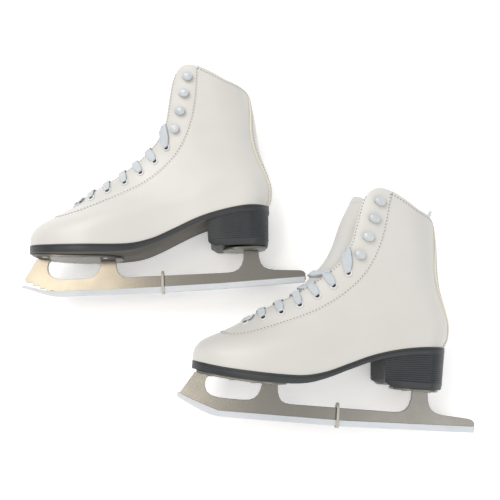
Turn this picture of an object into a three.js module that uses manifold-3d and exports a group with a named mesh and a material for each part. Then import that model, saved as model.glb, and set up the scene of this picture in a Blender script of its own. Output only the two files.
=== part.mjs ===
// A pair of figure skates lying on their sides, the right one behind and to the left of the left one.
// Millimetres, +Z up. Each skate is modelled upright in its own frame, +X to the heel, +Z from the blade
// to the collar and +Y to the outer side of a right foot, and is then laid down by its group.
import * as THREE from "three";
import { mergeVertices } from "three/addons/utils/BufferGeometryUtils.js";
import Module from "manifold-3d";

const wasm = await Module();
wasm.setup();

// ---- Driving dimensions ----
const GAP = 0.3; // between pieces that touch
const UPPER_T = 2.6; // leather of the upper and the facing
const LINING_T = 2.0;
const SOLE_T = 8.5; // outsole at the ball
const WAIST_T = 6.2; // outsole under the arch and above the heel
const BOARD_T = 2.4; // lasting board
const FOOTBED_T = 4.0;
const RUNNER_T = 4.0; // steel of the blade
const RUNNER_TOP = 16; // top edge of the runner between its stanchions
const ROCKER_R = 4000; // curve of the edge along the ice
const ROCKER_X = 0; // lowest point of the edge
const PLATE_T = 2.4; // sole plates of the blade
const TIE_X = [0, 12]; // where the nylon tie is looped round the blade, right and left
const HEEL_BREAST_X = 51;
const HEEL_BOTTOM_Z = 41.5;
const TONGUE_T = 5;
const VAMP_X = -62; // the vamp ends and the quarters begin here
const CREASE_Z = 164; // the tongue folds forward here
const CREASE_GAP = 2.2; // half of the clear strip that the fold needs
const LACE_D = 2.4;
const HOOK_W = 9;
const FACING_INSIDE = UPPER_T + GAP; // depth of the facing's inner side below the outer surface
// Where the skates lie. Each rests on the ball and the heel of its sole and on its top lace hook.
const RIGHT_DOWN = [0.0545, 0.9978, -0.0386];
const RIGHT_YAW = 3.6;
const RIGHT_AT = [-90, -44];
const LEFT_DOWN = [0.1199, 0.9926, -0.019];
const LEFT_YAW = -3.6;
const LEFT_AT = [79.8, -178.4];

// ---- Curves of the boot ----

// Smooth curve through [position, value] points, straight beyond its ends.
function curve(points) {
  const xs = points.map((p) => p[0]);
  const ys = points.map((p) => p[1]);
  const last = xs.length - 1;
  const slope = (i) => {
    const a = Math.max(i - 1, 0);
    const b = Math.min(i + 1, last);
    return (ys[b] - ys[a]) / (xs[b] - xs[a]);
  };
  return (x) => {
    if (x <= xs[0]) return ys[0];
    if (x >= xs[last]) return ys[last];
    let i = 0;
    while (x > xs[i + 1]) i += 1;
    const h = xs[i + 1] - xs[i];
    const t = (x - xs[i]) / h;
    const t2 = t * t;
    const t3 = t2 * t;
    return (
      (2 * t3 - 3 * t2 + 1) * ys[i] +
      (t3 - 2 * t2 + t) * h * slope(i) +
      (3 * t2 - 2 * t3) * ys[i + 1] +
      (t3 - t2) * h * slope(i + 1)
    );
  };
}

const smooth = (a, b, x) => {
  const t = Math.min(1, Math.max(0, (x - a) / (b - a)));
  return t * t * (3 - 2 * t);
};
const mix = (a, b, t) => a + (b - a) * t;

// Feather line, where the upper meets the sole: height at each x.
const featherZ = curve([
  [-138, 53], [-110, 49.5], [-80, 47.5], [-45, 46.5], [-25, 47.5],
  [-5, 52.5], [15, 61], [40, 71.5], [65, 78.5], [90, 82.5], [118, 84],
]);
const soleThick = curve([[-138, 8], [-60, SOLE_T], [-25, 7.5], [0, WAIST_T], [118, WAIST_T]]);
// Line of the toe, instep and shin if the throat were closed: x at each height.
const frontX = curve([
  [40, -137], [58, -138], [66, -136.5], [73, -131], [78, -123], [84, -111], [91, -98],
  [97, -88.5], [106.5, -77], [120.5, -56], [135, -37], [149.5, -21], [163, -11.5],
  [179, -6], [200, -2.5], [220, 2], [245, 7],
]);
// Line of the heel and the back of the shaft.
const backX = curve([
  [40, 115], [84, 117], [93, 120.5], [105, 121.5], [116, 119.5], [128, 116], [141, 112],
  [155, 109.5], [172, 108], [190, 106.5], [210, 103.5], [245, 100],
]);
// How far behind the front line, and ahead of the back line, the boot reaches its full width.
const frontRound = curve([[50, 72], [62, 78], [75, 100], [98, 142], [118, 150], [138, 112], [154, 66], [170, 50], [245, 45]]);
const backRound = curve([[80, 28], [100, 30], [125, 33], [155, 37], [185, 41], [245, 43]]);
const footHalf = curve([[-138, 44], [-72, 44], [-55, 42.5], [-38, 39.5], [-18, 35], [2, 31.5], [25, 30], [55, 31.5], [118, 32]]);
const shaftHalf = curve([[60, 30], [160, 30.5], [180, 32.5], [205, 34.5], [245, 37.5]]);
// The front of the foot turns to its inner side.
const middleY = (x) => -8.5 * smooth(25, -125, x);
// Edge of the facing beside the tongue, and half the throat's width there.
const edgeX = curve([
  [98, -83], [106.5, -75], [120.5, -50], [135, -28], [149.5, -10], [163, 3], [179, 11],
  [200, 15.5], [220, 19.5], [231, 23.5], [245, 27],
]);

const fullHalf = (x, z) => mix(footHalf(x), shaftHalf(z), smooth(55, 150, z));
const rounding = (d, l) => Math.sqrt(Math.max(0, 1 - (1 - Math.min(1, Math.max(0, d / l))) ** 2));
// Half the boot's width at a place seen from the side.
function halfWidth(x, z) {
  const front = rounding(x - frontX(z), frontRound(z));
  const back = rounding(backX(z) - x, backRound(z));
  return fullHalf(x, z) * front * back;
}
// x of the surface at a distance y from the middle, on the front or on the back of the boot.
function frontSurfaceX(y, z) {
  let x = frontX(z);
  for (let i = 0; i < 4; i += 1) {
    const share = Math.min(1, Math.abs(y) / fullHalf(x, z));
    x = frontX(z) + frontRound(z) * (1 - Math.sqrt(1 - share * share));
  }
  return x;
}
function backSurfaceX(y, z) {
  const share = Math.min(1, Math.abs(y) / fullHalf(100, z));
  return backX(z) - backRound(z) * (1 - Math.sqrt(1 - share * share));
}

// Point of the boot's outer surface: turn 0 is the back, 0.5 the front, and the outer side is between.
function surfacePoint(turn, z) {
  const angle = 2 * Math.PI * turn;
  const x = mix(backX(z), frontX(z), (1 - Math.cos(angle)) / 2);
  const side = Math.sin(angle) >= 0 ? 1 : -1;
  return new THREE.Vector3(x, middleY(x) + side * halfWidth(x, z), z);
}
// The same point moved along the surface's normal, outwards for a positive distance.
function offsetPoint(pointAt, u, v, distance, du, dv) {
  const a = pointAt(u - du, v);
  const b = pointAt(u + du, v);
  const c = pointAt(u, v - dv);
  const d = pointAt(u, v + dv);
  const normal = b.sub(a).cross(d.sub(c)).normalize();
  return pointAt(u, v).addScaledVector(normal, distance);
}
const bootPoint = (turn, z, distance) => offsetPoint(surfacePoint, turn, z, distance, 0.004, 0.5);

// Outward direction of the boot's side at a place seen from the side; side is 1 for +Y and -1 for -Y.
function sidePoint(x, z, side, distance) {
  const at = (px, pz) => new THREE.Vector3(px, middleY(px) + side * halfWidth(px, pz), pz);
  const ex = at(x + 1, z).sub(at(x - 1, z));
  const ez = at(x, z + 1).sub(at(x, z - 1));
  const normal = ez.cross(ex).multiplyScalar(side).normalize();
  return { point: at(x, z).addScaledVector(normal, distance), normal };
}

// ---- Solids ----

function geometryOf(points, faces) {
  const geometry = new THREE.BufferGeometry();
  geometry.setAttribute("position", new THREE.Float32BufferAttribute(points.flatMap((p) => [p.x, p.y, p.z]), 3));
  geometry.setIndex(faces);
  return geometry;
}
function solidOf(geometry) {
  const bare = geometry.clone();
  bare.deleteAttribute("normal");
  bare.deleteAttribute("uv");
  const merged = mergeVertices(bare, 1e-4);
  const made = new wasm.Manifold(
    new wasm.Mesh({
      numProp: 3,
      vertProperties: new Float32Array(merged.attributes.position.array),
      triVerts: new Uint32Array(merged.index.array),
    }),
  );
  if (made.volume() < 0) throw new Error("a solid is inside out");
  return made;
}
function geometryFrom(solid) {
  const mesh = solid.getMesh();
  const geometry = new THREE.BufferGeometry();
  geometry.setAttribute("position", new THREE.BufferAttribute(new Float32Array(mesh.vertProperties), 3));
  geometry.setIndex(new THREE.BufferAttribute(new Uint32Array(mesh.triVerts), 1));
  return geometry.toNonIndexed();
}

// Closed skin over rings of points. Rings that join up make a ring-shaped solid; others get end caps.
function loft(rings, joined) {
  const n = rings[0].length;
  const points = rings.flat();
  const faces = [];
  const count = joined ? rings.length : rings.length - 1;
  for (let r = 0; r < count; r += 1) {
    const a = r * n;
    const b = ((r + 1) % rings.length) * n;
    for (let i = 0; i < n; i += 1) {
      const j = (i + 1) % n;
      faces.push(a + i, a + j, b + j, a + i, b + j, b + i);
    }
  }
  if (!joined) {
    const top = (rings.length - 1) * n;
    for (let i = 1; i < n - 1; i += 1) {
      faces.push(0, i + 1, i);
      faces.push(top, top + i, top + i + 1);
    }
  }
  const geometry = geometryOf(points, faces);
  return facingOut(geometry);
}
// Turns a closed mesh's faces round if they point inwards.
function facingOut(geometry) {
  const p = geometry.attributes.position;
  const index = geometry.index.array;
  const at = (i) => new THREE.Vector3().fromBufferAttribute(p, i);
  let volume = 0;
  for (let i = 0; i < index.length; i += 3) {
    volume += at(index[i]).dot(at(index[i + 1]).cross(at(index[i + 2])));
  }
  if (volume < 0) {
    for (let i = 0; i < index.length; i += 3) {
      [index[i + 1], index[i + 2]] = [index[i + 2], index[i + 1]];
    }
  }
  return geometry;
}
// Closed slab over a grid of points, between its outer and its inner copy.
function slab(columns, rows, outerAt, innerAt) {
  const rings = [];
  for (let r = 0; r < rows.length; r += 1) {
    const outer = columns.map((c) => outerAt(c, rows[r]));
    const inner = columns.map((c) => innerAt(c, rows[r])).reverse();
    rings.push([...outer, ...inner]);
  }
  const n = columns.length;
  const points = rings.flat();
  const faces = [];
  for (let r = 0; r < rings.length - 1; r += 1) {
    const a = r * 2 * n;
    const b = a + 2 * n;
    for (let i = 0; i < 2 * n; i += 1) {
      const j = (i + 1) % (2 * n);
      faces.push(a + i, a + j, b + j, a + i, b + j, b + i);
    }
  }
  const top = (rings.length - 1) * 2 * n;
  for (let i = 0; i < n - 1; i += 1) {
    const k = 2 * n - 1 - i;
    faces.push(i, k, k - 1, i, k - 1, i + 1);
    faces.push(top + i, top + k - 1, top + k, top + i, top + i + 1, top + k - 1);
  }
  return facingOut(geometryOf(points, faces));
}
const steps = (from, to, count) => Array.from({ length: count + 1 }, (_, i) => mix(from, to, i / count));
// Steps that crowd towards both ends, for outlines that close in a round end.
const roundSteps = (from, to, count) =>
  Array.from({ length: count + 1 }, (_, i) => mix(from, to, (1 - Math.cos((Math.PI * i) / count)) / 2));

// Side outline of [x, z] points, made thick from y0 to y1.
function sidePlate(outline, y0, y1) {
  const shape = outline instanceof THREE.Shape ? outline : new THREE.Shape(outline.map((p) => new THREE.Vector2(...p)));
  const geometry = new THREE.ExtrudeGeometry(shape, { depth: y1 - y0, bevelEnabled: false, curveSegments: 5 });
  return geometry.rotateX(Math.PI / 2).translate(0, y1, 0);
}
// Layer of the sole: at each x a cross-section from the inner to the outer edge.
function layer(stations, bottomAt, topAt, halfAt, bottomShare = 1) {
  const rings = stations.map((x) => {
    const half = halfAt(x);
    const low = half * bottomShare;
    return [
      new THREE.Vector3(x, middleY(x) - low, bottomAt(x)),
      new THREE.Vector3(x, middleY(x) + low, bottomAt(x)),
      new THREE.Vector3(x, middleY(x) + half, topAt(x)),
      new THREE.Vector3(x, middleY(x) - half, topAt(x)),
    ];
  });
  return loft(rings, false);
}

// ---- Pieces of the boot ----

const SHELL_AROUND = 20;
const SHELL_HEIGHTS = [42, 54, 64, 71, 76, 82, 90, 99, 111, 127, 147, 172, 206, 246];
function bootShell(outer, inner) {
  const turns = steps(0, 1 - 1 / SHELL_AROUND, SHELL_AROUND - 1);
  const ringAt = (z, distance) => turns.map((turn) => bootPoint(turn, z, distance));
  const outerRings = SHELL_HEIGHTS.map((z) => ringAt(z, -outer));
  const innerRings = SHELL_HEIGHTS.map((z) => ringAt(z, -inner)).reverse();
  return loft([...outerRings, ...innerRings], true);
}
const collarLine = [
  [110, 208.5], [103, 211.5], [92, 215.5], [78, 221], [62, 229.5], [50, 235.5], [41, 238.5], [33, 238.5], [27, 235], [23.5, 229],
];
const BEYOND = 170;
// Everything between the feather line and the collar, seen from the side, or with a margin inside it.
function bootOutline(low, high) {
  const bottom = steps(-138, 122, 16).map((x) => [x, featherZ(x) + low]);
  const top = collarLine.map(([x, z]) => [x, z - high]);
  return [[-BEYOND, featherZ(-138) + low], ...bottom, [BEYOND, featherZ(118) + low], [BEYOND, 203 - high], ...top, [-BEYOND, 229 - high]];
}
// Seam between the facing and the rest of the upper, from the collar to the vamp.
const seam = [
  [50, 240], [48.5, 219], [46, 200], [42, 181], [35, 162.5], [24, 144.5], [9, 129], [-11, 114.5], [-31, 104],
  [-52, 95.5], [-72, 88], [-88, 83], [-101, 80.5], [-110, 82.5], [-125, 86],
];
const facingOutline = (shift) => [
  ...seam.map(([x, z]) => [x + shift, z - shift]),
  [-BEYOND, 94], [-BEYOND, 250], [49 + shift, 250],
];

// Slot of the throat: a wedge of rectangles along the facing's edge.
const throatHalf = (z) => Math.max(0.5, Math.abs(halfWidth(edgeX(z), z)));
function edgeFrame(z) {
  const dx = edgeX(z + 1) - edgeX(z - 1);
  const normal = new THREE.Vector3(-2, 0, dx).normalize();
  return { at: new THREE.Vector3(edgeX(z), middleY(edgeX(z)), z), normal };
}
function throatSlot() {
  const heights = [99, 101, 106, 113, 121, 130, 140, 150, 160, 170, 181, 193, 207, 222, 250];
  const rings = heights.map((z) => {
    const { at, normal } = edgeFrame(z);
    const half = z < 100 ? 2.5 : throatHalf(z);
    const low = at.clone().addScaledVector(normal, -16);
    const high = at.clone().addScaledVector(normal, 45);
    const y = new THREE.Vector3(0, half, 0);
    return [low.clone().sub(y), low.clone().add(y), high.clone().add(y), high.clone().sub(y)];
  });
  return loft(rings, false);
}

// Eyelets and hooks of one side, as places seen from the side.
const EYELETS = [[-87.5, 94.5], [-70, 100.5], [-52.5, 107], [-34.5, 115.5], [-17.5, 126], [-2, 137.5], [11.5, 151]];
const HOOKS = [[21, 170], [28, 188], [33, 207], [37.5, 225]];
const EYELET_HOLE_D = 5;

function pierce(solid) {
  let pierced = solid;
  for (const [x, z] of EYELETS) {
    for (const side of [1, -1]) {
      const { point, normal } = sidePoint(x, z, side, 0);
      const drill = new THREE.CylinderGeometry(EYELET_HOLE_D / 2, EYELET_HOLE_D / 2, 16, 8);
      drill.applyQuaternion(new THREE.Quaternion().setFromUnitVectors(new THREE.Vector3(0, 1, 0), normal));
      drill.translate(point.x, point.y, point.z);
      pierced = pierced.subtract(solidOf(drill));
    }
  }
  return pierced;
}

function makeUpperAndFacing() {
  const shell = solidOf(bootShell(0, UPPER_T));
  const boot = shell.intersect(solidOf(sidePlate(bootOutline(GAP, 0), -90, 90)));
  const facingSide = solidOf(sidePlate(facingOutline(-GAP / 2), -90, 90));
  const gapSide = solidOf(sidePlate(facingOutline(GAP / 2), -90, 90));
  const upper = boot.subtract(gapSide);
  const facing = boot.intersect(facingSide).subtract(solidOf(throatSlot()));
  const channel = solidOf(makeLace(LACE_R + 0.3));
  // The upper is cut from three pieces of leather: the vamp over the toes and two quarters that meet at the back.
  const cutBox = (x0, x1, y0, y1) => solidOf(new THREE.BoxGeometry(x1 - x0, y1 - y0, 300).translate((x0 + x1) / 2, (y0 + y1) / 2, 150));
  const vamp = geometryFrom(upper.intersect(cutBox(-200, VAMP_X, -90, 90)));
  const quarters = [1, -1].map((side) => geometryFrom(upper.intersect(cutBox(VAMP_X + GAP, 200, side > 0 ? GAP / 2 : -90, side > 0 ? 90 : -GAP / 2))));
  return { vamp, quarters, facing: geometryFrom(pierce(facing).subtract(channel)) };
}

function makeLining() {
  const depth = UPPER_T + 1.7;
  const shell = solidOf(bootShell(depth, depth + LINING_T));
  const kept = shell.intersect(solidOf(sidePlate(bootOutline(BOARD_T + 3 * GAP, 2), -90, 90)));
  return geometryFrom(kept.subtract(solidOf(sidePlate(facingOutline(1.5), -90, 90))));
}

function makeBackstay() {
  const strip = (y, z) => new THREE.Vector3(backSurfaceX(y, z), y, z);
  const at = (distance) => (y, z) => offsetPoint(strip, y, z, distance, 0.5, 0.5);
  return slab(steps(-9, 9, 4), steps(86, 207, 11), at(1.5), at(0.6));
}

// ---- Tongue ----

// How deep the tongue lies below the closed front line, so that it follows the facing's edge.
const tongueDepth = curve([[95, 12], [115, 13], [135, 14], [150, 16.5], [164, 19], [180, 22], [200, 25], [225, 26.5], [250, 27]]);
const tongueHalf = curve([
  [95, 8], [107, 12], [120, 14.5], [135, 16], [150, 16.6], [164, 16], [180, 17.6], [200, 21], [220, 23.5], [229, 21.5],
]);
function tonguePoint(y, z) {
  const x = frontSurfaceX(y, z);
  return new THREE.Vector3(x, middleY(x) + y, z);
}
function tonguePatch(low, high, rows, loose) {
  const lift = (z) => loose * 19 * smooth(CREASE_Z + 2, CREASE_Z + 24, z);
  const at = (share, z, extra) => {
    const y = share * tongueHalf(z);
    const p = tonguePoint(y, z);
    const normal = edgeFrame(z).normal;
    p.z += (8 / 19) * lift(z); // a tongue that is pulled forward is pulled up too
    return p.addScaledVector(normal, -tongueDepth(z) - extra + lift(z));
  };
  return slab(steps(-1, 1, 6), steps(low, high, rows), (s, z) => at(s, z, 0), (s, z) => at(s, z, TONGUE_T));
}

// ---- Sole ----

const soleHalf = (x) => halfWidth(x, featherZ(x) + 4) + 1.2;
const insideHalf = (x, z, depth) => Math.max(0.4, halfWidth(x, z) - depth);
const OUTSOLE_X = [-137.5, 117.5];
const makeOutsole = () =>
  layer(roundSteps(...OUTSOLE_X, 22), (x) => featherZ(x) - soleThick(x), (x) => featherZ(x), (x) => Math.max(soleHalf(x), 3));
const makeBoard = () =>
  layer(roundSteps(-131, 110, 14), (x) => featherZ(x) + GAP, (x) => featherZ(x) + BOARD_T, (x) =>
    insideHalf(x, featherZ(x) + 1, UPPER_T + 4));
const makeFootbed = () =>
  layer(roundSteps(-126, 105.5, 14), (x) => featherZ(x) + BOARD_T + GAP, (x) => featherZ(x) + BOARD_T + FOOTBED_T, (x) =>
    insideHalf(x, featherZ(x) + 5, UPPER_T + LINING_T + 5.6));
const HEEL_SPLIT_Z = HEEL_BOTTOM_Z + 7;
const HEEL_STATIONS = [HEEL_BREAST_X, 54, 59, 68, 80, 92, 101, 107.5, 112, 115, 116.5];
const heelHalf = (x) => Math.min(soleHalf(x) - 0.4, 31) * mix(0.92, 1, smooth(HEEL_BREAST_X, 70, x));
const makeHeel = () =>
  layer(HEEL_STATIONS, () => HEEL_SPLIT_Z + GAP, (x) => featherZ(x) - soleThick(x) - GAP, heelHalf, 0.9);
// The heel's lowest layer, with its front corner cut back.
function makeHeelLift() {
  const bottom = (x) => HEEL_BOTTOM_Z + 4.5 * (1 - smooth(HEEL_BREAST_X, HEEL_BREAST_X + 8, x));
  return layer(HEEL_STATIONS, bottom, () => HEEL_SPLIT_Z, (x) => heelHalf(x) * 0.9, 0.95);
}

// ---- Blade ----

const edgeZ = (x) => (x - ROCKER_X) ** 2 / (2 * ROCKER_R);
const TAIL_X = 153;
const PICK = [-147.5, 20.5];
// Height of the plates' undersides, so that the stanchions end there.
const soleUnder = (x) => featherZ(x) - soleThick(x);
const TOE_PLATE = { from: -133, to: -42 };
const HEEL_PLATE = { from: 66, to: 112 };
const toePlateUnder = (x) => soleUnder(x) - PLATE_T - 2 * GAP;
const heelPlateUnder = HEEL_BOTTOM_Z - PLATE_T - 2 * GAP;

// Side outline of the blade: the edge with its rocker, the toothed toe rake, and three stanchions.
function runnerShape() {
  const s = new THREE.Shape();
  s.moveTo(TAIL_X, edgeZ(TAIL_X) + 1);
  for (const x of steps(TAIL_X - 2, -104, 9)) s.lineTo(x, edgeZ(x));
  const teeth = 5;
  for (let i = 0; i < teeth; i += 1) {
    const t = i / teeth;
    const root = (k) => [mix(-110, PICK[0], k), mix(4.5, PICK[1], k ** 1.25)];
    s.lineTo(...root(t));
    const [x, z] = root(t + 0.6 / teeth);
    s.lineTo(x - 1.8, z - 2.2);
  }
  s.lineTo(...PICK);
  s.lineTo(-134.5, toePlateUnder(-134.5));
  s.lineTo(-119, toePlateUnder(-119));
  // Window between the toe stanchion and the ball stanchion.
  s.bezierCurveTo(-125, 37, -125, 24, -117, 20.5);
  s.bezierCurveTo(-113, 18.8, -106, 18, -98, 17.8);
  s.lineTo(-84, 17.6);
  s.bezierCurveTo(-73, 17.6, -67, 22, -66, toePlateUnder(-66));
  s.lineTo(-50, toePlateUnder(-50));
  // Long window under the arch.
  s.bezierCurveTo(-50, 22, -46, RUNNER_TOP + 1, -36, RUNNER_TOP + 0.6);
  s.lineTo(70, RUNNER_TOP);
  s.bezierCurveTo(82, RUNNER_TOP, 88, 22, 88, heelPlateUnder);
  s.lineTo(104, heelPlateUnder);
  s.bezierCurveTo(104, 23, 107, 18, 120, RUNNER_TOP + 0.4);
  s.lineTo(147, RUNNER_TOP - 1.5);
  s.quadraticCurveTo(TAIL_X + 1, RUNNER_TOP - 2.5, TAIL_X, 8);
  s.closePath();
  return s;
}
const makeRunner = () => sidePlate(runnerShape(), -RUNNER_T / 2, RUNNER_T / 2);
function makeToePlate() {
  const half = curve([[-133, 12], [-126, 21], [-112, 27], [-95, 28], [-78, 29], [-60, 27], [-48, 19], [-42, 9]]);
  return layer(
    steps(TOE_PLATE.from, TOE_PLATE.to, 10),
    (x) => soleUnder(x) - PLATE_T - GAP,
    (x) => soleUnder(x) - GAP,
    half,
  );
}
function makeHeelPlate() {
  const half = curve([[66, 8], [71, 15], [80, 19], [98, 19.5], [107, 16], [112, 8]]);
  const top = HEEL_BOTTOM_Z - GAP;
  return layer(steps(HEEL_PLATE.from, HEEL_PLATE.to, 8), () => top - PLATE_T, () => top, half);
}

// ---- Edge guard and its tie ----

const GUARD_WALL = 1.1;
const GUARD_DEPTH = 4.4; // of the channel above the edge
const GUARD_FLOOR = 1.2;
const GUARD_SLACK = 0.4; // under the edge
const GUARD_NOSE_X = -150;
const GUARD_XS = [110, 60, 20, -20, -60, -95, -108, -116, -124, -131.5, -139, -146.5];
// The right guard's nose is sprung a little off the toothed rake; the left one is pressed up over it.
const GUARD_SPRUNG = {
  seat: (x) => edgeZ(x) + 11 * smooth(-112, -160, x),
  over: (x) => edgeZ(x) + 11 * smooth(-112, -160, x) + mix(GUARD_DEPTH, 1.5, smooth(-105, GUARD_NOSE_X, x)),
  cutX: -143.5,
};
const pressedSeat = curve([[-150.5, 19], [-146.3, 16.4], [-138.8, 12.6], [-131.3, 9], [-123.8, 5.8], [-116.3, 3.1], [-108, edgeZ(-108)]]);
const pressedOver = curve([[-150.5, 21.4], [-134, 14.6], [-119.7, 9.8], [-108, edgeZ(-108) + GUARD_DEPTH]]);
const GUARD_PRESSED = {
  seat: (x) => (x < -108 ? pressedSeat(x) : edgeZ(x)),
  over: (x) => (x < -108 ? pressedOver(x) : edgeZ(x) + GUARD_DEPTH),
  cutX: -148.6,
};
function guardBand(under, over, noseX, tailX) {
  const xs = [tailX, ...GUARD_XS.filter((x) => x > noseX + 1), noseX];
  return [...xs.map((x) => [x, under(x)]), ...xs.map((x) => [x, over(x)]).reverse()];
}
function makeGuard(loose) {
  const { seat, over, cutX } = loose ? GUARD_PRESSED : GUARD_SPRUNG;
  const inner = RUNNER_T / 2 + GAP;
  const outer = inner + GUARD_WALL;
  const low = (x) => seat(x) - GUARD_SLACK - GUARD_FLOOR;
  const body = solidOf(sidePlate(guardBand(low, over, GUARD_NOSE_X, TAIL_X - 1), -outer, outer));
  const band = guardBand((x) => seat(x) - GUARD_SLACK, (x) => over(x) + 30, cutX, TAIL_X + 20);
  return geometryFrom(body.subtract(solidOf(sidePlate(band, -inner, inner))));
}

const TIE = { width: 2.6, thick: 0.9, top: 20.6, head: 4.2 };
function makeTie(side, x) {
  const half = RUNNER_T / 2 + GAP + GUARD_WALL + 0.7;
  const low = -GUARD_SLACK - GUARD_FLOOR - 0.7;
  // Front view of the loop, made wider and taller by grow all round.
  const loop = (grow) => {
    const w = half + grow;
    const arch = steps(0, Math.PI, 10).map((a) => [w * Math.cos(a), TIE.top - half + w * Math.sin(a)]);
    return [...arch, [-w, low - grow + 0.7], [-w + 0.7, low - grow], [w - 0.7, low - grow], [w, low - grow + 0.7]];
  };
  const band = (grow, depth) => sidePlate(loop(grow), -depth / 2, depth / 2).rotateZ(Math.PI / 2);
  const ring = solidOf(band(TIE.thick, TIE.width)).subtract(solidOf(band(0, TIE.width + 4)));
  const head = new THREE.BoxGeometry(TIE.head, TIE.head, TIE.head).translate(0, side * (half + TIE.thick / 2 + TIE.head / 2), 12);
  return geometryFrom(ring.add(solidOf(head))).translate(x, 0, 0);
}

// ---- Lace hooks ----

// One hook: a foot on the facing and a lip that curls back from the throat over the lace.
function makeHook(x, z, side) {
  const profile = [
    [-3.6, 0.35], [3.2, 0.35], [3.2, 1.1], [-2.3, 1.1], [-2.9, 1.9], [-2.7, 3.1], [-1.6, 4.1],
    [1.2, 4.4], [4.4, 3.9], [4.6, 4.6], [1.2, 5.3], [-2.2, 5], [-3.8, 3.6], [-4.1, 1.8],
  ];
  const shape = new THREE.Shape(profile.map((p) => new THREE.Vector2(...p)));
  const hook = new THREE.ExtrudeGeometry(shape, { depth: HOOK_W, bevelEnabled: false }).translate(0, 0, -HOOK_W / 2);
  const { point, normal } = sidePoint(x, z, side, 0.2);
  const { normal: throat } = edgeFrame(z);
  const back = throat.clone().negate();
  back.addScaledVector(normal, -back.dot(normal)).normalize();
  const along = new THREE.Vector3().crossVectors(back, normal);
  return hook.applyMatrix4(new THREE.Matrix4().makeBasis(back, normal, along).setPosition(point));
}

// ---- Lace ----

const LACE_R = LACE_D / 2;
// Place by the facing's edge at height z: side 1 or -1, and the distance above the edge's surface.
function edgePoint(z, side, inward, distance) {
  const { at, normal } = edgeFrame(z);
  return new THREE.Vector3(at.x, at.y + side * (throatHalf(z) - inward), z).addScaledVector(normal, distance);
}
const LACE_RISE = [5, 8, 10.5, 12.5, 12, 12.5, 13.5]; // how far above each eyelet the lace crosses the facing's edge
// One half of the lace: up out of each eyelet, over the facing's edge, and under the other facing.
function laceHalf(start) {
  const points = [];
  let side = start;
  EYELETS.forEach(([x, z], k) => {
    const hole = (distance) => sidePoint(x, z, side, distance).point;
    const rise = z + LACE_RISE[k] - 6;
    points.push(hole(-FACING_INSIDE - LACE_R - 0.6), hole(0), hole(LACE_R + 1.2));
    points.push(edgePoint(rise + 5, side, -1.5, LACE_R + 1.5));
    if (k + 1 < EYELETS.length) {
      points.push(edgePoint(rise + 6, side, 4, start > 0 ? -0.6 : -3.4));
      points.push(edgePoint(rise + 8, -side, 2.5, -FACING_INSIDE - LACE_R - 0.9));
      side = -side;
    } else {
      points.push(edgePoint(rise + 7, side, 4, 0));
      points.push(edgePoint(rise + 9, side, 7, -6));
    }
  });
  return points;
}
// Round cord along a path of points, with its ends closed.
function cord(path, radius, sides) {
  const rings = [];
  let across = new THREE.Vector3(0, 0, 1);
  path.forEach((p, i) => {
    const before = path[Math.max(i - 1, 0)];
    const after = path[Math.min(i + 1, path.length - 1)];
    const along = after.clone().sub(before).normalize();
    across = across.clone().addScaledVector(along, -across.dot(along)).normalize();
    const other = new THREE.Vector3().crossVectors(along, across);
    rings.push(
      steps(0, 1 - 1 / sides, sides - 1).map((turn) => {
        const a = 2 * Math.PI * turn;
        return p.clone().addScaledVector(across, radius * Math.cos(a)).addScaledVector(other, radius * Math.sin(a));
      }),
    );
  });
  return loft(rings, false);
}
function makeLace(radius) {
  const path = [...laceHalf(-1).reverse(), ...laceHalf(1)];
  const line = new THREE.CatmullRomCurve3(path, false, "centripetal");
  return cord(line.getPoints(Math.round(path.length * 1.5)), radius, 5);
}

// The two free ends are tucked into the shaft and folded together into a hank on its lower wall.
// low is 1 where the skate's outer side is down and -1 where its inner side is.
const HANK = { x0: 47, x1: 77, z0: 113, z1: 203, y0: 15.2, y1: 21.8 };
const FREE_FROM_Z = EYELETS[6][1] + 13.9;
function makeFreeEnd(side, low) {
  const start = edgePoint(FREE_FROM_Z, side, 5.8, -8.1);
  const round = [[13, side * 21.1, 170.5], [24, side * 21.8, 171]];
  const own = [[34, side * 20.2, 178], [41, side * 19, 184], [45.3, side * 18.6, 186]];
  const across = [[36, side * 20.5, 175], [42, side * 12, 181], [44, -side * 2, 187], [44.3, -side * 12, 191], [45.3, -side * 18.6, 192]];
  const path = [...round, ...(side === low ? own : across)].map((p) => new THREE.Vector3(...p));
  const line = new THREE.CatmullRomCurve3([start, ...path], false, "centripetal");
  return cord(line.getPoints(side === low ? 14 : 20), LACE_R, 6);
}
function makeHank(low) {
  const { x0, x1, z0, z1, y0, y1 } = HANK;
  const r = (x1 - x0) / 2;
  const arc = (from, z) => steps(from, from + Math.PI, 8).map((a) => [x0 + r + r * Math.cos(a), z + r * Math.sin(a)]);
  const outline = [...arc(0, z1 - r), ...arc(Math.PI, z0 + r)];
  const body = solidOf(sidePlate(outline, Math.min(low * y0, low * y1), Math.max(low * y0, low * y1)));
  const y = low * 18.6;
  const tip = low < 0 ? [[66, y, 205], [69, y, 214], [71.5, y, 226]] : [[64, y, 202], [66, y, 208]];
  const path = [new THREE.Vector3(62, y, 190), ...tip.map((p) => new THREE.Vector3(...p))];
  return geometryFrom(body.add(solidOf(cord(path, LACE_R, 6))));
}

const pair = new THREE.Group();
function material(color, roughness, metalness) {
  return new THREE.MeshStandardMaterial({ color, roughness, metalness });
}
const MATERIALS = {
  leather: material(0xe6e4dd, 0.55, 0),
  lining: material(0xd9d6cd, 0.9, 0),
  sole: material(0x2c2f33, 0.6, 0),
  board: material(0x9c8468, 0.9, 0),
  foam: material(0xcfccc4, 0.95, 0),
  steel: material(0x9a968d, 0.35, 0.9),
  guard: material(0xdfe6ee, 0.4, 0),
  tie: material(0xd8d6c6, 0.5, 0),
  hook: material(0xdcdcd8, 0.3, 0.3),
  lace: material(0xdbe3ea, 0.9, 0),
};

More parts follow.
